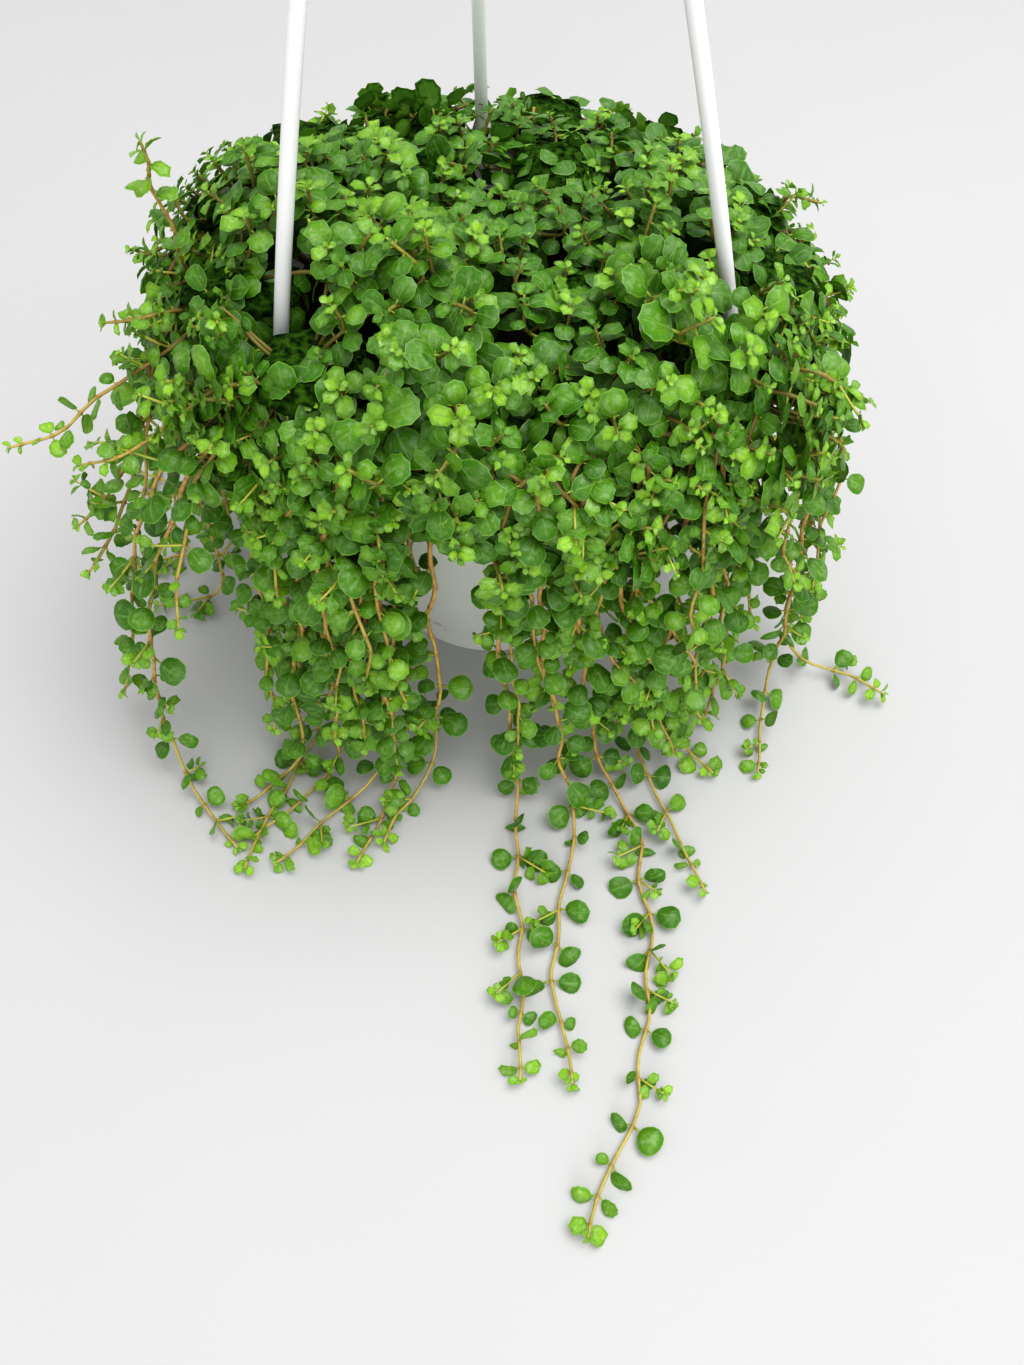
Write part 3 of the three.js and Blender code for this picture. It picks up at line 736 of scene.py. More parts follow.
def add_tip(piece, point, heading, phase, size, age, random, face=None):
    """The crown of young leaves at the end of a shoot; says how many grew."""
    return sum(add_pair(piece, point - heading * back, heading, phase + turn, size * share, form,
                        min(1, age + added), lean, random, face)
               for back, turn, share, form, added, lean in CROWN)


def add_mound_shoot(piece, root, tip, heading, random, bright):
    """A short leafy shoot of the mound, with its crown at the top."""
    length = float(np.linalg.norm(tip - root))
    bend = tip - heading * length * SHOOT_BEND
    route = Route([root, mix(root, bend, 0.5), bend, tip])
    scale = 1 + SHOOT_SPREAD * random.standard_normal()
    nodes = [(route.length - gap * scale, size * scale, form) for gap, size, form in MOUND_NODES]
    nodes = [node for node in nodes if node[0] > 2]
    phase = random.uniform(0, math.pi)
    if add_tip(piece, tip, heading, phase, CROWN_SIZE * scale, bright, random, heading) == 0:
        return
    grown = 0
    # Lower pairs take darker tones: partly their real greater age, partly painted shade under the
    # upper leaves
    for k, (node, size, form) in enumerate(nodes):
        grown += add_pair(piece, route.at(node), route.heading(node), phase + math.pi / 2 * k,
                          size, form, bright * (0.7 - 0.2 * k), 0.25 - 0.12 * k, random, heading)
    start = 0 if grown > 2 else max(0, route.length - SHORT_SHOOT)
    add_stem(piece, route, start, route.length, 0.6, 0.45, [node[0] for node in nodes],
             0.45, 0.95, sides=4, step=8.0)


def add_side_shoot(piece, point, heading, size, age, random):
    """A short branch of a hanging stem, with its own crown."""
    length = random.uniform(*SIDE_LENGTH)
    tip = point + unit(heading + 0.3 * UP) * length
    tip[2] = max(tip[2], SIDE_LOWEST)
    if in_pot_window(tip) or in_pot_window(mix(point, tip, 0.4)):
        return
    route = Route([point, mix(point, tip, 0.5) - 0.3 * UP, tip])
    phase = random.uniform(0, math.pi)
    if add_tip(piece, tip, heading, phase + math.pi / 2, size * 0.9, age, random) == 0:
        return
    add_stem(piece, route, 0, route.length, 0.45, 0.35, [], age, 0.9, sides=4, step=4.0,
             has_painted_shade=False)
    for k in range(int(length // 4)):
        node = route.at(length - SIDE_FIRST_GAP - SIDE_GAP * k)
        add_pair(piece, node, heading, phase + math.pi / 2 * k, size * (1 + 0.1 * k), "young",
                 age * (1 - 0.2 * k), 0.4, random)


def stem_nodes(route, start, spacing, random):
    """The places of leaf pairs from a stem's tip back, closer near its ends than between."""
    nodes = []
    place = route.length - TIP_GAP
    while place > start:
        nodes.append(place)
        gap = spacing * (SURFACE_GAP if route.at(place)[2] < SURFACE_BAND else 1.0)
        if route.length - place < CLOSE_LENGTH:
            gap *= CLOSE_GAP
        if place < start + DENSE_LENGTH:
            gap *= DENSE_GAP
        place -= gap * random.uniform(0.85, 1.15)
    return nodes


def add_trailing_stem(piece, route, kind, random):
    """A long stem with leaf pairs all the way, side shoots at some nodes and a crown at its tip."""
    start, spacing, size, bright, side_share, radius = kind
    nodes = stem_nodes(route, start, spacing, random)
    add_stem(piece, route, 0, route.length, radius, radius * 0.65, nodes, 0.0, 0.5)
    phase = random.uniform(0, math.pi)
    heading = route.heading(route.length)
    add_tip(piece, route.at(route.length), heading, phase + math.pi / 2, size * SMALL_SIZE, bright,
            random)
    for k, node in enumerate(nodes):
        point = route.at(node)
        heading = route.heading(node)
        on_surface = point[2] < SURFACE_BAND
        to_tip = route.length - node
        young = math.exp(-to_tip / YOUNG_LENGTH)
        leaf_size = size * mix(1.0, SMALL_SIZE, young)
        age = bright * young + (0.12 if on_surface else 0.3) * random.random() * (1 - young)
        is_dense = node < DENSE_LENGTH
        form = "young" if to_tip < 9 else "grown" if to_tip < 16 or is_dense else "round"
        if is_dense:
            leaf_size *= DENSE_SIZE
        twist = phase + math.pi / 2 * k
        add_pair(piece, point, heading, twist, leaf_size, form, age, random.uniform(0, 0.6), random)
        if random.random() < side_share and to_tip > 12:
            way = pair_frames(heading, twist)[int(random.integers(2))]
            if on_surface:
                way = square_to(way, UP)
            add_side_shoot(piece, point, unit(way + 0.8 * heading), SIDE_SIZE,
                           0.4 + 0.5 * random.random(), random)


# The mound: radii and heights of its outline, then its hollow, lower sides and ripples

CANOPY = [(0, 158), (20, 163), (45, 167), (65, 166), (80, 159), (92, 145), (99, 128), (102, 112)]
HOLLOW = np.array([-1.0, 22.0])
HOLLOW_DEPTH = 24.0
HOLLOW_SIZE = np.array([17.0, 12.0])
BACK_DROP = 18.0
RIGHT_DROP = 5.0
DROP_FROM = 65.0
MOUND_SHOOTS = 450
RIPPLE = 18.0
RIPPLE_SIZE = 32.0
RIPPLE_SHIFT = Vector((74.0, 26.0, 42.0))
SLOPE_SPAN = 6.0
CHANCE_TILT = 0.35
BRIGHT_MIDDLE = 0.36
# Painted light: how much lighter and younger in tone the shoots are at the far left and right of
# the mound
PAINTED_SIDE_LIGHT = 0.42
BRIGHT_SPREAD = 0.33


def canopy_drop(azimuth):
    """How much lower the mound is at the back and the right."""
    turn = math.radians(azimuth)
    return BACK_DROP * max(0.0, math.cos(turn)) ** 0.8 + RIGHT_DROP * max(0.0, math.sin(turn))


def canopy_point(share, azimuth):
    """A point on the mound's outside and the way it faces there, by its share of the way down."""
    radii, heights = np.array(CANOPY, float).T
    runs = np.concatenate([[0], np.cumsum(np.hypot(np.diff(radii), np.diff(heights)))])
    run = share * runs[-1]
    radius = np.interp(run, runs, radii)
    height = np.interp(run, runs, heights)
    ends = (min(runs[-1], run + SLOPE_SPAN), max(0.0, run - SLOPE_SPAN))
    slope, travel = (np.subtract(*np.interp(ends, runs, values)) for values in (heights, radii))
    point = polar(radius, azimuth, height - canopy_drop(azimuth) * min(1.0, radius / DROP_FROM))
    ripple = noise.noise(Vector(point / RIPPLE_SIZE) + RIPPLE_SHIFT) * RIPPLE
    dip = HOLLOW_DEPTH * math.exp(-float(np.sum(((point[:2] - HOLLOW) / HOLLOW_SIZE) ** 2)))
    out = outward_of(point) if radius > 1 else np.zeros(3)
    normal = unit(UP * travel - out * slope)
    return point + normal * ripple - UP * dip, normal


def add_mound(tufts):
    """The short shoots that cover the mound, spread evenly over it."""
    random = np.random.default_rng(5)
    golden = math.degrees(math.pi * (3 - math.sqrt(5)))
    for i in range(MOUND_SHOOTS):
        share = math.sqrt((i + 0.5) / MOUND_SHOOTS)
        azimuth = i * golden + 4 * random.standard_normal()
        share = min(1.0, share + 0.012 * random.standard_normal())
        tip, normal = canopy_point(share, azimuth)
        if in_pot_window(tip) or in_pot_or_rod(tip) or in_pot_or_rod(tip - 4 * normal):
            continue
        tuft = min(tufts, key=lambda tuft: np.linalg.norm(tip - tuft.centre))
        heading = unit(normal + CHANCE_TILT * random.standard_normal(3)
                       - 0.25 * (1 - normal[2]) * UP)
        # Painted light makes shoots lighter the further they lie to the left or right; the rest is
        # a middle tone and chance
        bright = (BRIGHT_MIDDLE + PAINTED_SIDE_LIGHT * abs(tip[0]) / 90
                  + BRIGHT_SPREAD * random.standard_normal())
        add_mound_shoot(tuft.piece, mix(tuft.heart, tip, 0.3), tip, heading, random,
                        float(np.clip(bright, 0.05, 1.0)))


CORE_SIZE = (1.05, 1.05, 0.6)
CORE_DROP = 2.5
CORE_LUMPS = 2.6
CORE_LEAVES = 62
RIM_LEAVES = 22
LOWER_SIZE = 6.5


def add_core(tuft):
    """The middle of a tuft as a lump painted near-black for the shade among its stems, with the old
    leaves on it and over the rim.
    """
    ball = bmesh.new()
    bmesh.ops.create_icosphere(ball, subdivisions=3, radius=1.0)
    ball.verts.ensure_lookup_table()
    points = np.array([v.co[:] for v in ball.verts])
    faces = np.array([[v.index for v in f.verts] for f in ball.faces])
    ball.free()
    bump = np.array([noise.noise(Vector(p * CORE_LUMPS + tuft.centre)) for p in points])
    flat = np.array([1.0, 1.0, 1.0 - tuft.drop / 32])
    points *= (0.8 + 0.22 * bump)[:, None] * tuft.size * np.array(CORE_SIZE) * flat
    angle = -math.radians(tuft.azimuth)
    cosine, sine = math.cos(angle), math.sin(angle)
    spin = np.array([[cosine, -sine, 0], [sine, cosine, 0], [0, 0, 1]])
    middle = tuft.centre - UP * (CORE_DROP + 0.4 * tuft.drop)
    points = points @ spin.T + middle
    tuft.piece.add(points, faces, SHADE, np.zeros_like(points), np.zeros_like(points))
    random = np.random.default_rng(int(tuft.azimuth) + 900)
    for point in points[random.permutation(len(points))[:CORE_LEAVES]]:
        out = unit(point - middle)
        droop = square_to(out - 0.8 * UP + 0.5 * random.standard_normal(3), unit(out + 0.2 * UP))
        add_leaf(tuft.piece, point - out, unit(droop + 0.25 * out), unit(out + 0.5 * UP),
                 random.uniform(LOWER_SIZE, 8.0), "lower", 0.12 * random.random(), random)
    if not tuft.is_outer:
        return
    for _ in range(RIM_LEAVES):
        azimuth = tuft.azimuth + random.uniform(-17, 17)
        base = polar(random.uniform(56, 84), azimuth, POT_HEIGHT + random.uniform(4, 11))
        out = outward_of(base)
        along = unit(out + 0.8 * random.standard_normal(3) * np.array([1, 1, 0.2]))
        add_leaf(tuft.piece, base, along, unit(UP + 0.3 * out), random.uniform(LOWER_SIZE, 8.5),
                 "lower", 0.15 * random.random(), random)


def add_roots(tuft):
    """The stems that rise from the soil into a tuft."""
    random = np.random.default_rng(int(tuft.azimuth) + 700)
    for _ in range(3):
        start = tuft.root + np.append(random.uniform(-4, 4, 2), 0)
        end = tuft.heart + random.uniform(-5, 5, 3)
        route = Route([start, start + 5 * UP, mix(start, end, 0.6) + 2 * UP, end])
        add_stem(tuft.piece, route, 0, route.length, 0.8, 0.7, [], 0.0, 0.1, step=8.0)


LANDING_HEIGHT = 16
WINDOW_TESTS = (0.1, 0.3, 0.5, 0.7)
BESIDE_WAVER = 0.03
BESIDE_SWAY = 1.5


def add_curtain(tufts):
    """The stems that hang from the mound: the solids' own, each with shorter ones beside it."""
    random = np.random.default_rng(8)
    for azimuth, route in PLACED_STEMS + ruled_stems():
        tuft = home_tuft(tufts, azimuth)
        line = stem_route(azimuth, route, tuft)
        if line.length < SPRIG_LENGTH:
            add_trailing_stem(tuft.piece, line, SPRIG, random)
            continue
        add_trailing_stem(tuft.piece, line, LONG_STEM, random)
        low = [i for i, point in enumerate(line.points) if point[2] < LANDING_HEIGHT]
        last = low[0] if low else len(line.points)
        for side in (-1, 1):
            shift = random.uniform(3.0, 9.0) * side
            end = int(last * random.uniform(0.6, 1.0))
            beside = beside_line(line, end, shift, random)
            if not any(in_pot_window(beside.at(beside.length * share)) for share in WINDOW_TESTS):
                add_trailing_stem(tuft.piece, beside, BESIDE_STEM, random)


def beside_line(line, end, shift, random):
    """A branch that leaves another stem near the rim and hangs beside it."""
    start = int(end * random.uniform(0.14, 0.3))
    points = line.points[start:end].copy()
    share = np.linspace(0, 1, len(points))
    ease = np.minimum(1, share * 4)
    ramp = np.minimum(1, share * 2.2) if random.random() < 0.5 else share
    angle = -math.radians(shift) * ramp
    waver = random.uniform(-1, 1, 2)
    angle += BESIDE_WAVER * np.sin(share * 7 + waver[0] * 3) * ease
    out = (random.uniform(-2.0, 6.0) * share
           + BESIDE_SWAY * np.sin(share * 9 + waver[1] * 3) * ease)
    radius = np.hypot(points[:, 0], points[:, 1])
    scale = (radius + out) / np.maximum(radius, 1)
    x = points[:, 0] * scale
    y = points[:, 1] * scale
    points[:, 0] = x * np.cos(angle) - y * np.sin(angle)
    points[:, 1] = x * np.sin(angle) + y * np.cos(angle)
    points[:, 2] = np.maximum(points[:, 2], LOWEST_MIDDLE)
    return Route(points, is_smooth=True)


# Materials

class Nodes:
    """Short calls for a material's node tree."""

    def __init__(self, name):
        self.material = bpy.data.materials.new(name)
        self.material.use_nodes = True
        self.tree = self.material.node_tree
        self.tree.nodes.clear()
        self.shader = self.new("ShaderNodeBsdfPrincipled")
        self.new("ShaderNodeOutputMaterial", {"Surface": self.shader.outputs["BSDF"]})

    def new(self, kind, inputs=(), **settings):
        node = self.tree.nodes.new(kind)
        for key, value in settings.items():
            setattr(node, key, value)
        for name, value in dict(inputs).items():
            self.put(node.inputs[name], value)
        return node

    def put(self, socket, value):
        if isinstance(value, bpy.types.NodeSocket):
            self.tree.links.new(value, socket)
        elif isinstance(value, tuple) and len(value) == 3 and socket.type == "RGBA":
            socket.default_value = (*value, 1.0)
        else:
            socket.default_value = value

    def math(self, operation, a, b=0.0):
        return self.new("ShaderNodeMath", {0: a, 1: b}, operation=operation).outputs[0]

    def times(self, a, b):
        return self.math("MULTIPLY", a, b)

    def inverse(self, value):
        """1 less a value."""
        return self.math("SUBTRACT", 1.0, value)

    def step(self, value, low, high):
        """0 below low, 1 above high, smooth between."""
        limits = {"Value": value, "From Min": low, "From Max": high}
        node = self.new("ShaderNodeMapRange", limits, interpolation_type="SMOOTHSTEP")
        return node.outputs["Result"]

    def scale(self, value, low, high):
        """A value from 0 to 1 spread from low to high."""
        limits = {"Value": value, "To Min": low, "To Max": high}
        return self.new("ShaderNodeMapRange", limits).outputs["Result"]

    def layers(self, colour, *tints):
        """A colour with tints laid over it, each by its share."""
        for share, tint in tints:
            sockets = {0: share, 6: colour, 7: tint}
            colour = self.new("ShaderNodeMix", sockets, data_type="RGBA").outputs[2]
        return colour

    def ramp(self, value, stops):
        node = self.new("ShaderNodeValToRGB", {"Fac": value})
        elements = node.color_ramp.elements
        while len(elements) < len(stops):
            elements.new(0.5)
        for element, (place, colour) in zip(elements, stops):
            element.position = place
            element.color = (*colour, 1.0)
        return node.outputs["Color"]

    def texture(self, kind, size_mm, **inputs):
        inputs.update(Scale=1 / (size_mm * MM), Vector=self.object_place())
        return self.new("ShaderNodeTex" + kind, inputs).outputs

    def noise(self, size_mm, detail=3.0, roughness=0.55):
        return self.texture("Noise", size_mm, Detail=detail, Roughness=roughness)["Fac"]

    def object_place(self):
        return self.new("ShaderNodeTexCoord").outputs["Object"]

    def attribute(self, name):
        node = self.new("ShaderNodeAttribute", attribute_name=name)
        return self.new("ShaderNodeSeparateXYZ", {0: node.outputs["Vector"]}).outputs

    def bump(self, height, strength, depth_mm):
        inputs = {"Height": height, "Strength": strength, "Distance": depth_mm * MM}
        self.set(Normal=self.new("ShaderNodeBump", inputs).outputs["Normal"])

    def set(self, **values):
        for key, value in values.items():
            self.put(self.shader.inputs[key.replace("_", " ")], value)


# Colours of leaves by age, from old to young, and the tints that vary them
LEAF_AGES = [(0.0, (0.016, 0.074, 0.001)), (0.3, (0.070, 0.196, 0.001)),
             (0.6, (0.260, 0.490, 0.022)), (1.0, (0.400, 0.690, 0.030))]
DARK_LEAF = (0.015, 0.085, 0.001)
COOL_LEAF = (0.110, 0.255, 0.012)
VEIN = (0.250, 0.470, 0.120)
MOTTLE = (0.130, 0.360, 0.010)
# A painted highlight: the whitish green laid on the leaves in patches for their gloss
PAINTED_SHEEN = (0.480, 0.640, 0.360)
DARK_BAND = (0.026, 0.135, 0.002)
PALE_RIM = (0.300, 0.560, 0.050)
PALE_UNDER = (0.200, 0.420, 0.060)
STALK = (0.300, 0.400, 0.050)


def leaf_material():
    nodes = Nodes("leaf_green")
    along, across, edge = nodes.attribute("place")
    age, chance, shade = nodes.attribute("tone")
    spread = nodes.math("ABSOLUTE", across)
    slant = nodes.math("DIVIDE", spread, nodes.math("ADD", along, 0.12))
    side_veins = nodes.step(nodes.math("SINE", nodes.times(slant, 26.0)), 0.86, 0.99)
    midrib = nodes.inverse(nodes.step(spread, 0.008, 0.03))
    veins = nodes.math("MAXIMUM", midrib, nodes.times(side_veins, 0.55))
    veins = nodes.times(veins, nodes.inverse(nodes.step(edge, 0.55, 0.95)))
    mottle = nodes.noise(1.1, 4.0)
    # Painted highlight: noise patches of whitish green, stronger on younger leaves
    painted_sheen = nodes.step(nodes.noise(1.7, 2.0), 0.48, 0.66)
    colour = nodes.layers(
        nodes.ramp(age, LEAF_AGES),
        (nodes.scale(chance, 0.0, 0.5), DARK_LEAF),
        (nodes.scale(shade, 0.0, 0.3), COOL_LEAF),
        (nodes.times(veins, 0.38), VEIN),
        (nodes.scale(mottle, 0.0, 0.4), MOTTLE),
        (nodes.times(painted_sheen, nodes.scale(age, 0.11, 0.32)), PAINTED_SHEEN),
        (nodes.times(nodes.step(edge, 0.6, 0.82), 0.4), DARK_BAND),
        (nodes.times(nodes.step(edge, 0.93, 1.0), 0.45), PALE_RIM),
        (nodes.times(nodes.math("LESS_THAN", edge, -0.005), 0.55), PALE_UNDER),
        (nodes.math("LESS_THAN", along, -0.5), STALK),
    )
    nodes.set(Base_Color=colour, Roughness=nodes.scale(mottle, 0.24, 0.46))
    nodes.set(Subsurface_Weight=0.1, Subsurface_Scale=0.0008, Subsurface_Radius=(0.5, 1.0, 0.1))
    nodes.set(Specular_IOR_Level=0.34)
    pebble = nodes.texture("Voronoi", 0.55)["Distance"]
    nodes.bump(nodes.math("SUBTRACT", nodes.times(pebble, 0.5), veins), 0.55, 0.14)
    return nodes.material


BARK = [(0.25, (0.330, 0.160, 0.035)), (0.5, (0.560, 0.340, 0.090)),
        (0.75, (0.640, 0.430, 0.140))]
FRESH_STEM = (0.420, 0.520, 0.060)
KNOT = (0.230, 0.090, 0.025)
# The dark olive brown of painted shade on stems inside the tufts
PAINTED_STEM_SHADE = (0.110, 0.095, 0.015)


def stem_material():
    nodes = Nodes("stem_tan")
    age, node, painted_shade = nodes.attribute("tone")
    streaks = nodes.noise(1.6, 4.0)
    # The last tint is painted shade on the stretch of stem inside a tuft
    colour = nodes.layers(nodes.ramp(streaks, BARK), (age, FRESH_STEM),
                          (nodes.times(node, 0.6), KNOT), (nodes.times(painted_shade, 0.8), PAINTED_STEM_SHADE))
    nodes.set(Base_Color=colour, Roughness=nodes.scale(streaks, 0.4, 0.6))
    nodes.bump(nodes.noise(0.5, 2.0), 0.3, 0.1)
    return nodes.material


# Near-black tones of the tufts' cores: painted shade for the depths of each tuft, mottled with dark
# green and brown for its stems and leaves
INNER_SHADE_TONES = [(0.38, (0.003, 0.010, 0.001)), (0.5, (0.016, 0.050, 0.003)),
               (0.6, (0.034, 0.100, 0.006)), (0.7, (0.060, 0.062, 0.012))]


def shade_material():
    nodes = Nodes("inner_twigs")
    shade_noise = nodes.noise(2.2, 5.0)
    nodes.set(Base_Color=nodes.ramp(shade_noise, INNER_SHADE_TONES), Roughness=0.95, Specular_IOR_Level=0.05)
    nodes.bump(shade_noise, 0.8, 1.2)
    return nodes.material


# The plastics: light tone, dark tone and roughness
POT_WHITE = ((0.86, 0.87, 0.84), (0.78, 0.79, 0.75), 0.42)
HANGER_WHITE = ((0.84, 0.84, 0.84), (0.80, 0.80, 0.80), 0.34)
SPECK = (0.45, 0.38, 0.28)

# A faint brown smear low on the front of the pot's wall: its colour, then place and reach in metres
SMEAR = (0.42, 0.24, 0.12)
SMEAR_PLACE = (-0.0162, -0.0408, 0.0139)
SMEAR_CORE = 0.0005
SMEAR_RADIUS = 0.0045


def plastic_material(name, light, dark, roughness, has_smear=False):
    """Moulded plastic with fine pitting, faint flow marks and slightly uneven gloss."""
    nodes = Nodes(name)
    cloud = nodes.noise(30.0, 3.0)
    specks = nodes.step(nodes.noise(2.2, 2.0), 0.68, 0.8)
    colour = nodes.layers(light, (nodes.scale(cloud, 0.0, 1.0), dark),
                          (nodes.times(specks, 0.12), SPECK))
    if has_smear:
        away = nodes.new("ShaderNodeVectorMath", {0: nodes.object_place(), 1: SMEAR_PLACE},
                         operation="DISTANCE").outputs["Value"]
        near = nodes.inverse(nodes.step(away, SMEAR_CORE, SMEAR_RADIUS))
        smear = nodes.times(near, nodes.step(nodes.noise(1.6, 3.0), 0.42, 0.62))
        colour = nodes.layers(colour, (nodes.times(smear, 0.6), SMEAR))
    gloss = nodes.scale(cloud, roughness - 0.07, roughness + 0.08)
    nodes.set(Base_Color=colour, Roughness=gloss)
    nodes.bump(nodes.noise(0.7, 2.0), 0.12, 0.08)
    return nodes.material


SOIL_TONES = [(0.3, (0.012, 0.008, 0.005)), (0.55, (0.040, 0.025, 0.014)),
              (0.8, (0.095, 0.062, 0.036))]
SOIL_CRUMB = (0.13, 0.09, 0.055)


def soil_material():
    nodes = Nodes("potting_soil")
    coarse = nodes.noise(3.0, 6.0, 0.7)
    fine = nodes.noise(0.8, 4.0, 0.7)
    crumbs = nodes.step(fine, 0.62, 0.7)
    colour = nodes.layers(nodes.ramp(coarse, SOIL_TONES), (crumbs, SOIL_CRUMB))
    nodes.set(Base_Color=colour, Roughness=0.92)
    nodes.bump(nodes.math("ADD", coarse, fine), 1.0, 1.0)
    return nodes.material


def floor_material():
    nodes = Nodes("pale_floor")
    colour = nodes.layers((0.53, 0.53, 0.53), (nodes.noise(160.0, 3.0), (0.505, 0.505, 0.505)))
    nodes.set(Base_Color=colour, Roughness=0.7)
    nodes.bump(nodes.noise(2.0, 3.0), 0.05, 0.2)
    return nodes.material


# Made parts

def lathe(name, profile, segments):
    """A closed body turned about Z from (radius, height) points that start and end on the axis."""
    rings = []
    points = []
    for radius, z in profile:
        if radius < 1e-6:
            rings.append([len(points)])
            points.append((0.0, 0.0, z))
            continue
        rings.append(list(range(len(points), len(points) + segments)))
        for i in range(segments):
            angle = 2 * math.pi * i / segments
            points.append((radius * math.cos(angle), radius * math.sin(angle), z))
    faces = []
    for low, high in zip(rings, rings[1:]):
        for i in range(segments):
            j = (i + 1) % segments
            corners = ((low, i), (low, j), (high, j), (high, i))
            faces.append(list(dict.fromkeys(ring[k % len(ring)] for ring, k in corners)))
    return placed(name, smooth_mesh(name, points, faces))


def rounded(corners, radius, steps=4):
    """The corner points of an outline, with each inner corner turned into a small arc."""
    made = [corners[0]]
    for before, corner, after in zip(corners, corners[1:], corners[2:]):
        a, b, c = (np.array(p, float) for p in (before, corner, after))
        reach = min(radius, 0.45 * np.linalg.norm(a - b), 0.45 * np.linalg.norm(c - b))
        start = b + unit(a - b) * reach
        end = b + unit(c - b) * reach
        for i in range(steps + 1):
            t = i / steps
            made.append(tuple((1 - t) ** 2 * start + 2 * t * (1 - t) * b + t * t * end))
    made.append(corners[-1])
    return made


def boolean(piece, other, operation):
    """Joins or cuts piece with other, which is then removed."""
    modifier = piece.modifiers.new("join", "BOOLEAN")
    modifier.operation = operation
    modifier.solver = "MANIFOLD"
    modifier.object = other
    graph = bpy.context.evaluated_depsgraph_get()
    mesh = bpy.data.meshes.new_from_object(piece.evaluated_get(graph))
    piece.modifiers.clear()
    piece.data = mesh
    bpy.data.objects.remove(other)


def shade_by_angle(piece, degrees):
    """Smooth faces with sharp edges where the surface turns by more than this."""
    shape = bmesh.new()
    shape.from_mesh(piece.data)
    for face in shape.faces:
        face.smooth = True
    for edge in shape.edges:
        if len(edge.link_faces) == 2:
            edge.smooth = edge.calc_face_angle(0) < math.radians(degrees)
    shape.to_mesh(piece.data)
    shape.free()


def drill(piece, radius, bottom, top, place, sides):
    """Cuts a round hole through a piece."""
    cut = lathe("cut", [(0, bottom), (radius, bottom), (radius, top), (0, top)], sides)
    move(cut, place)
    boolean(piece, cut, "DIFFERENCE")


def make_pot(material):
    under = POT_HEIGHT - RIM_THICKNESS
    band_inner = RIM_RADIUS - BAND_THICKNESS
    band_bottom = POT_HEIGHT - BAND_HEIGHT
    corners = [(0, 0), (BASE_RADIUS, 0), (wall_radius(under), under), (band_inner, under),
               (band_inner, band_bottom), (RIM_RADIUS, band_bottom), (RIM_RADIUS, POT_HEIGHT),
               (RIM_INNER_RADIUS, POT_HEIGHT),
               (wall_radius(FLOOR_THICKNESS) - WALL, FLOOR_THICKNESS), (0, FLOOR_THICKNESS)]
    pot = lathe("pot_shell", rounded(corners, radius=0.8), POT_SEGMENTS)
    for azimuth in ROD_AZIMUTHS.values():
        drill(pot, PIN_HOLE_RADIUS, under - 1, POT_HEIGHT + 1, polar(FOOT_RING, azimuth, 0),
              sides=20)
    for i in range(DRAIN_COUNT):
        place = polar(DRAIN_RING, 360 * (i + 0.5) / DRAIN_COUNT, 0)
        drill(pot, DRAIN_RADIUS, -1, FLOOR_THICKNESS + 1, place, sides=24)
    shade_by_angle(pot, degrees=32)
    return dress(pot, material, ["pot"])


def tube_object(name, route, radius, sides, steps):
    piece = Piece(name)
    marks = np.linspace(0, route.length, steps + 1)
    centres = [route.at(mark) for mark in marks]
    add_tube(piece, centres, [radius] * len(centres), sides, 0, np.zeros((len(centres), 3)))
    return piece.finish([])


# Radii and heights of the hub about its middle
HUB_OUTLINE = [(0, -9), (3, -9), (HUB_RADIUS, -4), (HUB_RADIUS, 3), (3.2, 8), (0, 8)]
FOOT_PLAY = 0.3


def make_hanger(material):
    hub = lathe("hanger_rods", rounded(HUB_OUTLINE, radius=1.2), segments=40)
    move(hub, HUB_PLACE)
    seat = POT_HEIGHT + FOOT_PLAY
    under = POT_HEIGHT - RIM_THICKNESS - FOOT_PLAY
    foot = [(0, under - 2.5), (PIN_HEAD_RADIUS, under - 1.5), (PIN_HEAD_RADIUS, under),
            (PIN_RADIUS, under), (PIN_RADIUS, seat), (FOOT_COLLAR_RADIUS, seat),
            (FOOT_COLLAR_RADIUS, seat + 1.5), (ROD_RADIUS + 0.3, seat + 6), (0, seat + 6)]
    for name, azimuth in ROD_AZIMUTHS.items():
        rod = tube_object("rod", Route(ROD_LINES[name]), ROD_RADIUS, sides=24, steps=30)
        boolean(hub, rod, "UNION")
        collar = lathe("collar", rounded(foot, radius=0.3), segments=32)
        move(collar, polar(FOOT_RING, azimuth, 0))
        boolean(hub, collar, "UNION")
    shank = HUB_PLACE + UP * HOOK_SHANK
    centre = shank + np.array([HOOK_RADIUS * 0.25, 0, HOOK_RADIUS])
    line = [HUB_PLACE, shank]
    for degrees in range(210, -31, -30):
        angle = math.radians(degrees)
        line.append(centre + np.array([math.cos(angle), 0, math.sin(angle)]) * HOOK_RADIUS)
    hook = tube_object("hook", Route(line), HOOK_WIRE_RADIUS, sides=20, steps=60)
    boolean(hub, hook, "UNION")
    shade_by_angle(hub, degrees=40)
    return dress(hub, material, ["hanger"])


SOIL_RINGS = 26
SOIL_PLAY = 0.6
SOIL_SINK = 1.2


def make_soil(material):
    """Potting soil with an uneven, crumbly top."""
    top = SOIL_TOP - SOIL_SINK
    bottom = FLOOR_THICKNESS + 0.5
    edge = wall_radius(top) - WALL - SOIL_PLAY
    profile = [(0, bottom), (wall_radius(FLOOR_THICKNESS) - WALL - SOIL_PLAY, bottom),
               (edge, top - 1.5)]
    profile += [(edge * (1 - i / SOIL_RINGS), top) for i in range(SOIL_RINGS)]
    profile += [(0, top)]
    soil = lathe("soil_bed", profile, segments=110)
    for vertex in soil.data.vertices:
        if vertex.co.z > (top - 0.5) * MM:
            place = vertex.co * 1000
            lumps = noise.noise(place * 0.22) * 1.3 + noise.noise(place * 0.7) * 0.8
            vertex.co.z += (lumps + 0.6) * MM * 0.7
    return dress(soil, material, ["soil"])


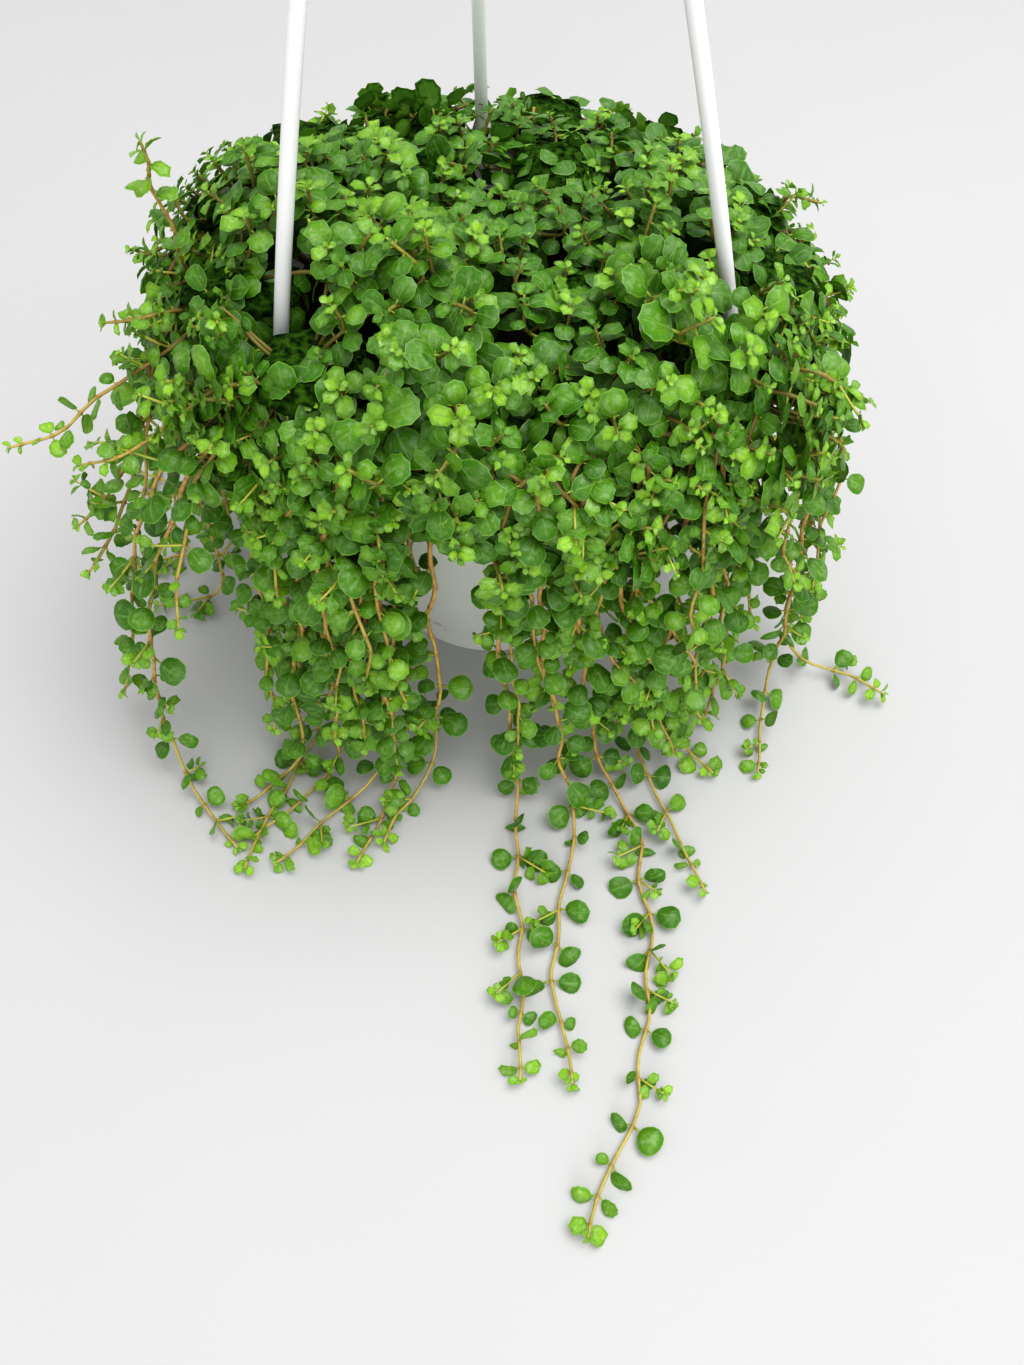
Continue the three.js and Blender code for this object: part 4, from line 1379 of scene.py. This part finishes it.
def dress(piece, material, nodes):
    """Gives a piece its material, fixes it to the root body and hides the solids that it stands
    for.
    """
    if material is not None:
        piece.data.materials.clear()
        piece.data.materials.append(material)
    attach(piece, "root")
    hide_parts(*nodes)
    return piece


def make_plant():
    tufts = tuft_list()
    for tuft in tufts:
        add_core(tuft)
        add_roots(tuft)
    add_curtain(tufts)
    add_mound(tufts)
    materials = [leaf_material(), stem_material(), shade_material()]
    for tuft in tufts:
        dress(tuft.piece.finish(materials), None, [tuft.name])


def make_camera():
    camera = placed("camera", bpy.data.cameras.new("camera"))
    camera.data.lens = LENS
    camera.data.sensor_width = SENSOR
    camera.data.clip_start = 0.01
    camera.matrix_world = (Matrix.Translation(EYE)
                           @ Matrix.Rotation(math.radians(90 - PITCH), 4, "X")
                           @ Matrix.Rotation(math.radians(ROLL), 4, "Z"))
    bpy.context.scene.camera = camera


def make_stage():
    bpy.ops.mesh.primitive_grid_add(x_subdivisions=8, y_subdivisions=8, size=6)
    floor = bpy.context.object
    floor.name = "pale_floor"
    floor.data.materials.append(floor_material())


# Lamps: name, place, size, power and colour
LAMPS = [("key", (0.4, 0.0, 1.5), 1.4, 19, (1.0, 1.0, 0.99)),
         ("fill", (0.1, -1.6, 0.5), 1.2, 7, (1.0, 1.0, 1.0))]
LAMP_AIM = (0, 0, 0.1)
SKY_COLOUR = (0.99, 0.99, 1.0, 1.0)
SKY_STRENGTH = 0.72


def make_light():
    for name, place, size, power, colour in LAMPS:
        light = bpy.data.lights.new(name, "AREA")
        light.shape = "DISK"
        light.size = size
        light.energy = power
        light.color = colour
        lamp = placed(name, light)
        lamp.location = place
        aim = Vector(LAMP_AIM) - Vector(place)
        lamp.rotation_euler = aim.to_track_quat("-Z", "Y").to_euler()
    world = bpy.data.worlds.new("studio")
    world.use_nodes = True
    background = world.node_tree.nodes["Background"]
    background.inputs["Color"].default_value = SKY_COLOUR
    background.inputs["Strength"].default_value = SKY_STRENGTH
    bpy.context.scene.world = world
    bpy.context.scene.view_settings.view_transform = "Standard"
    bpy.context.scene.view_settings.look = "Medium High Contrast"


make_camera()
make_stage()
make_light()
make_pot(plastic_material("pot_white", *POT_WHITE, has_smear=True))
make_soil(soil_material())
make_hanger(plastic_material("hanger_white", *HANGER_WHITE))
make_plant()
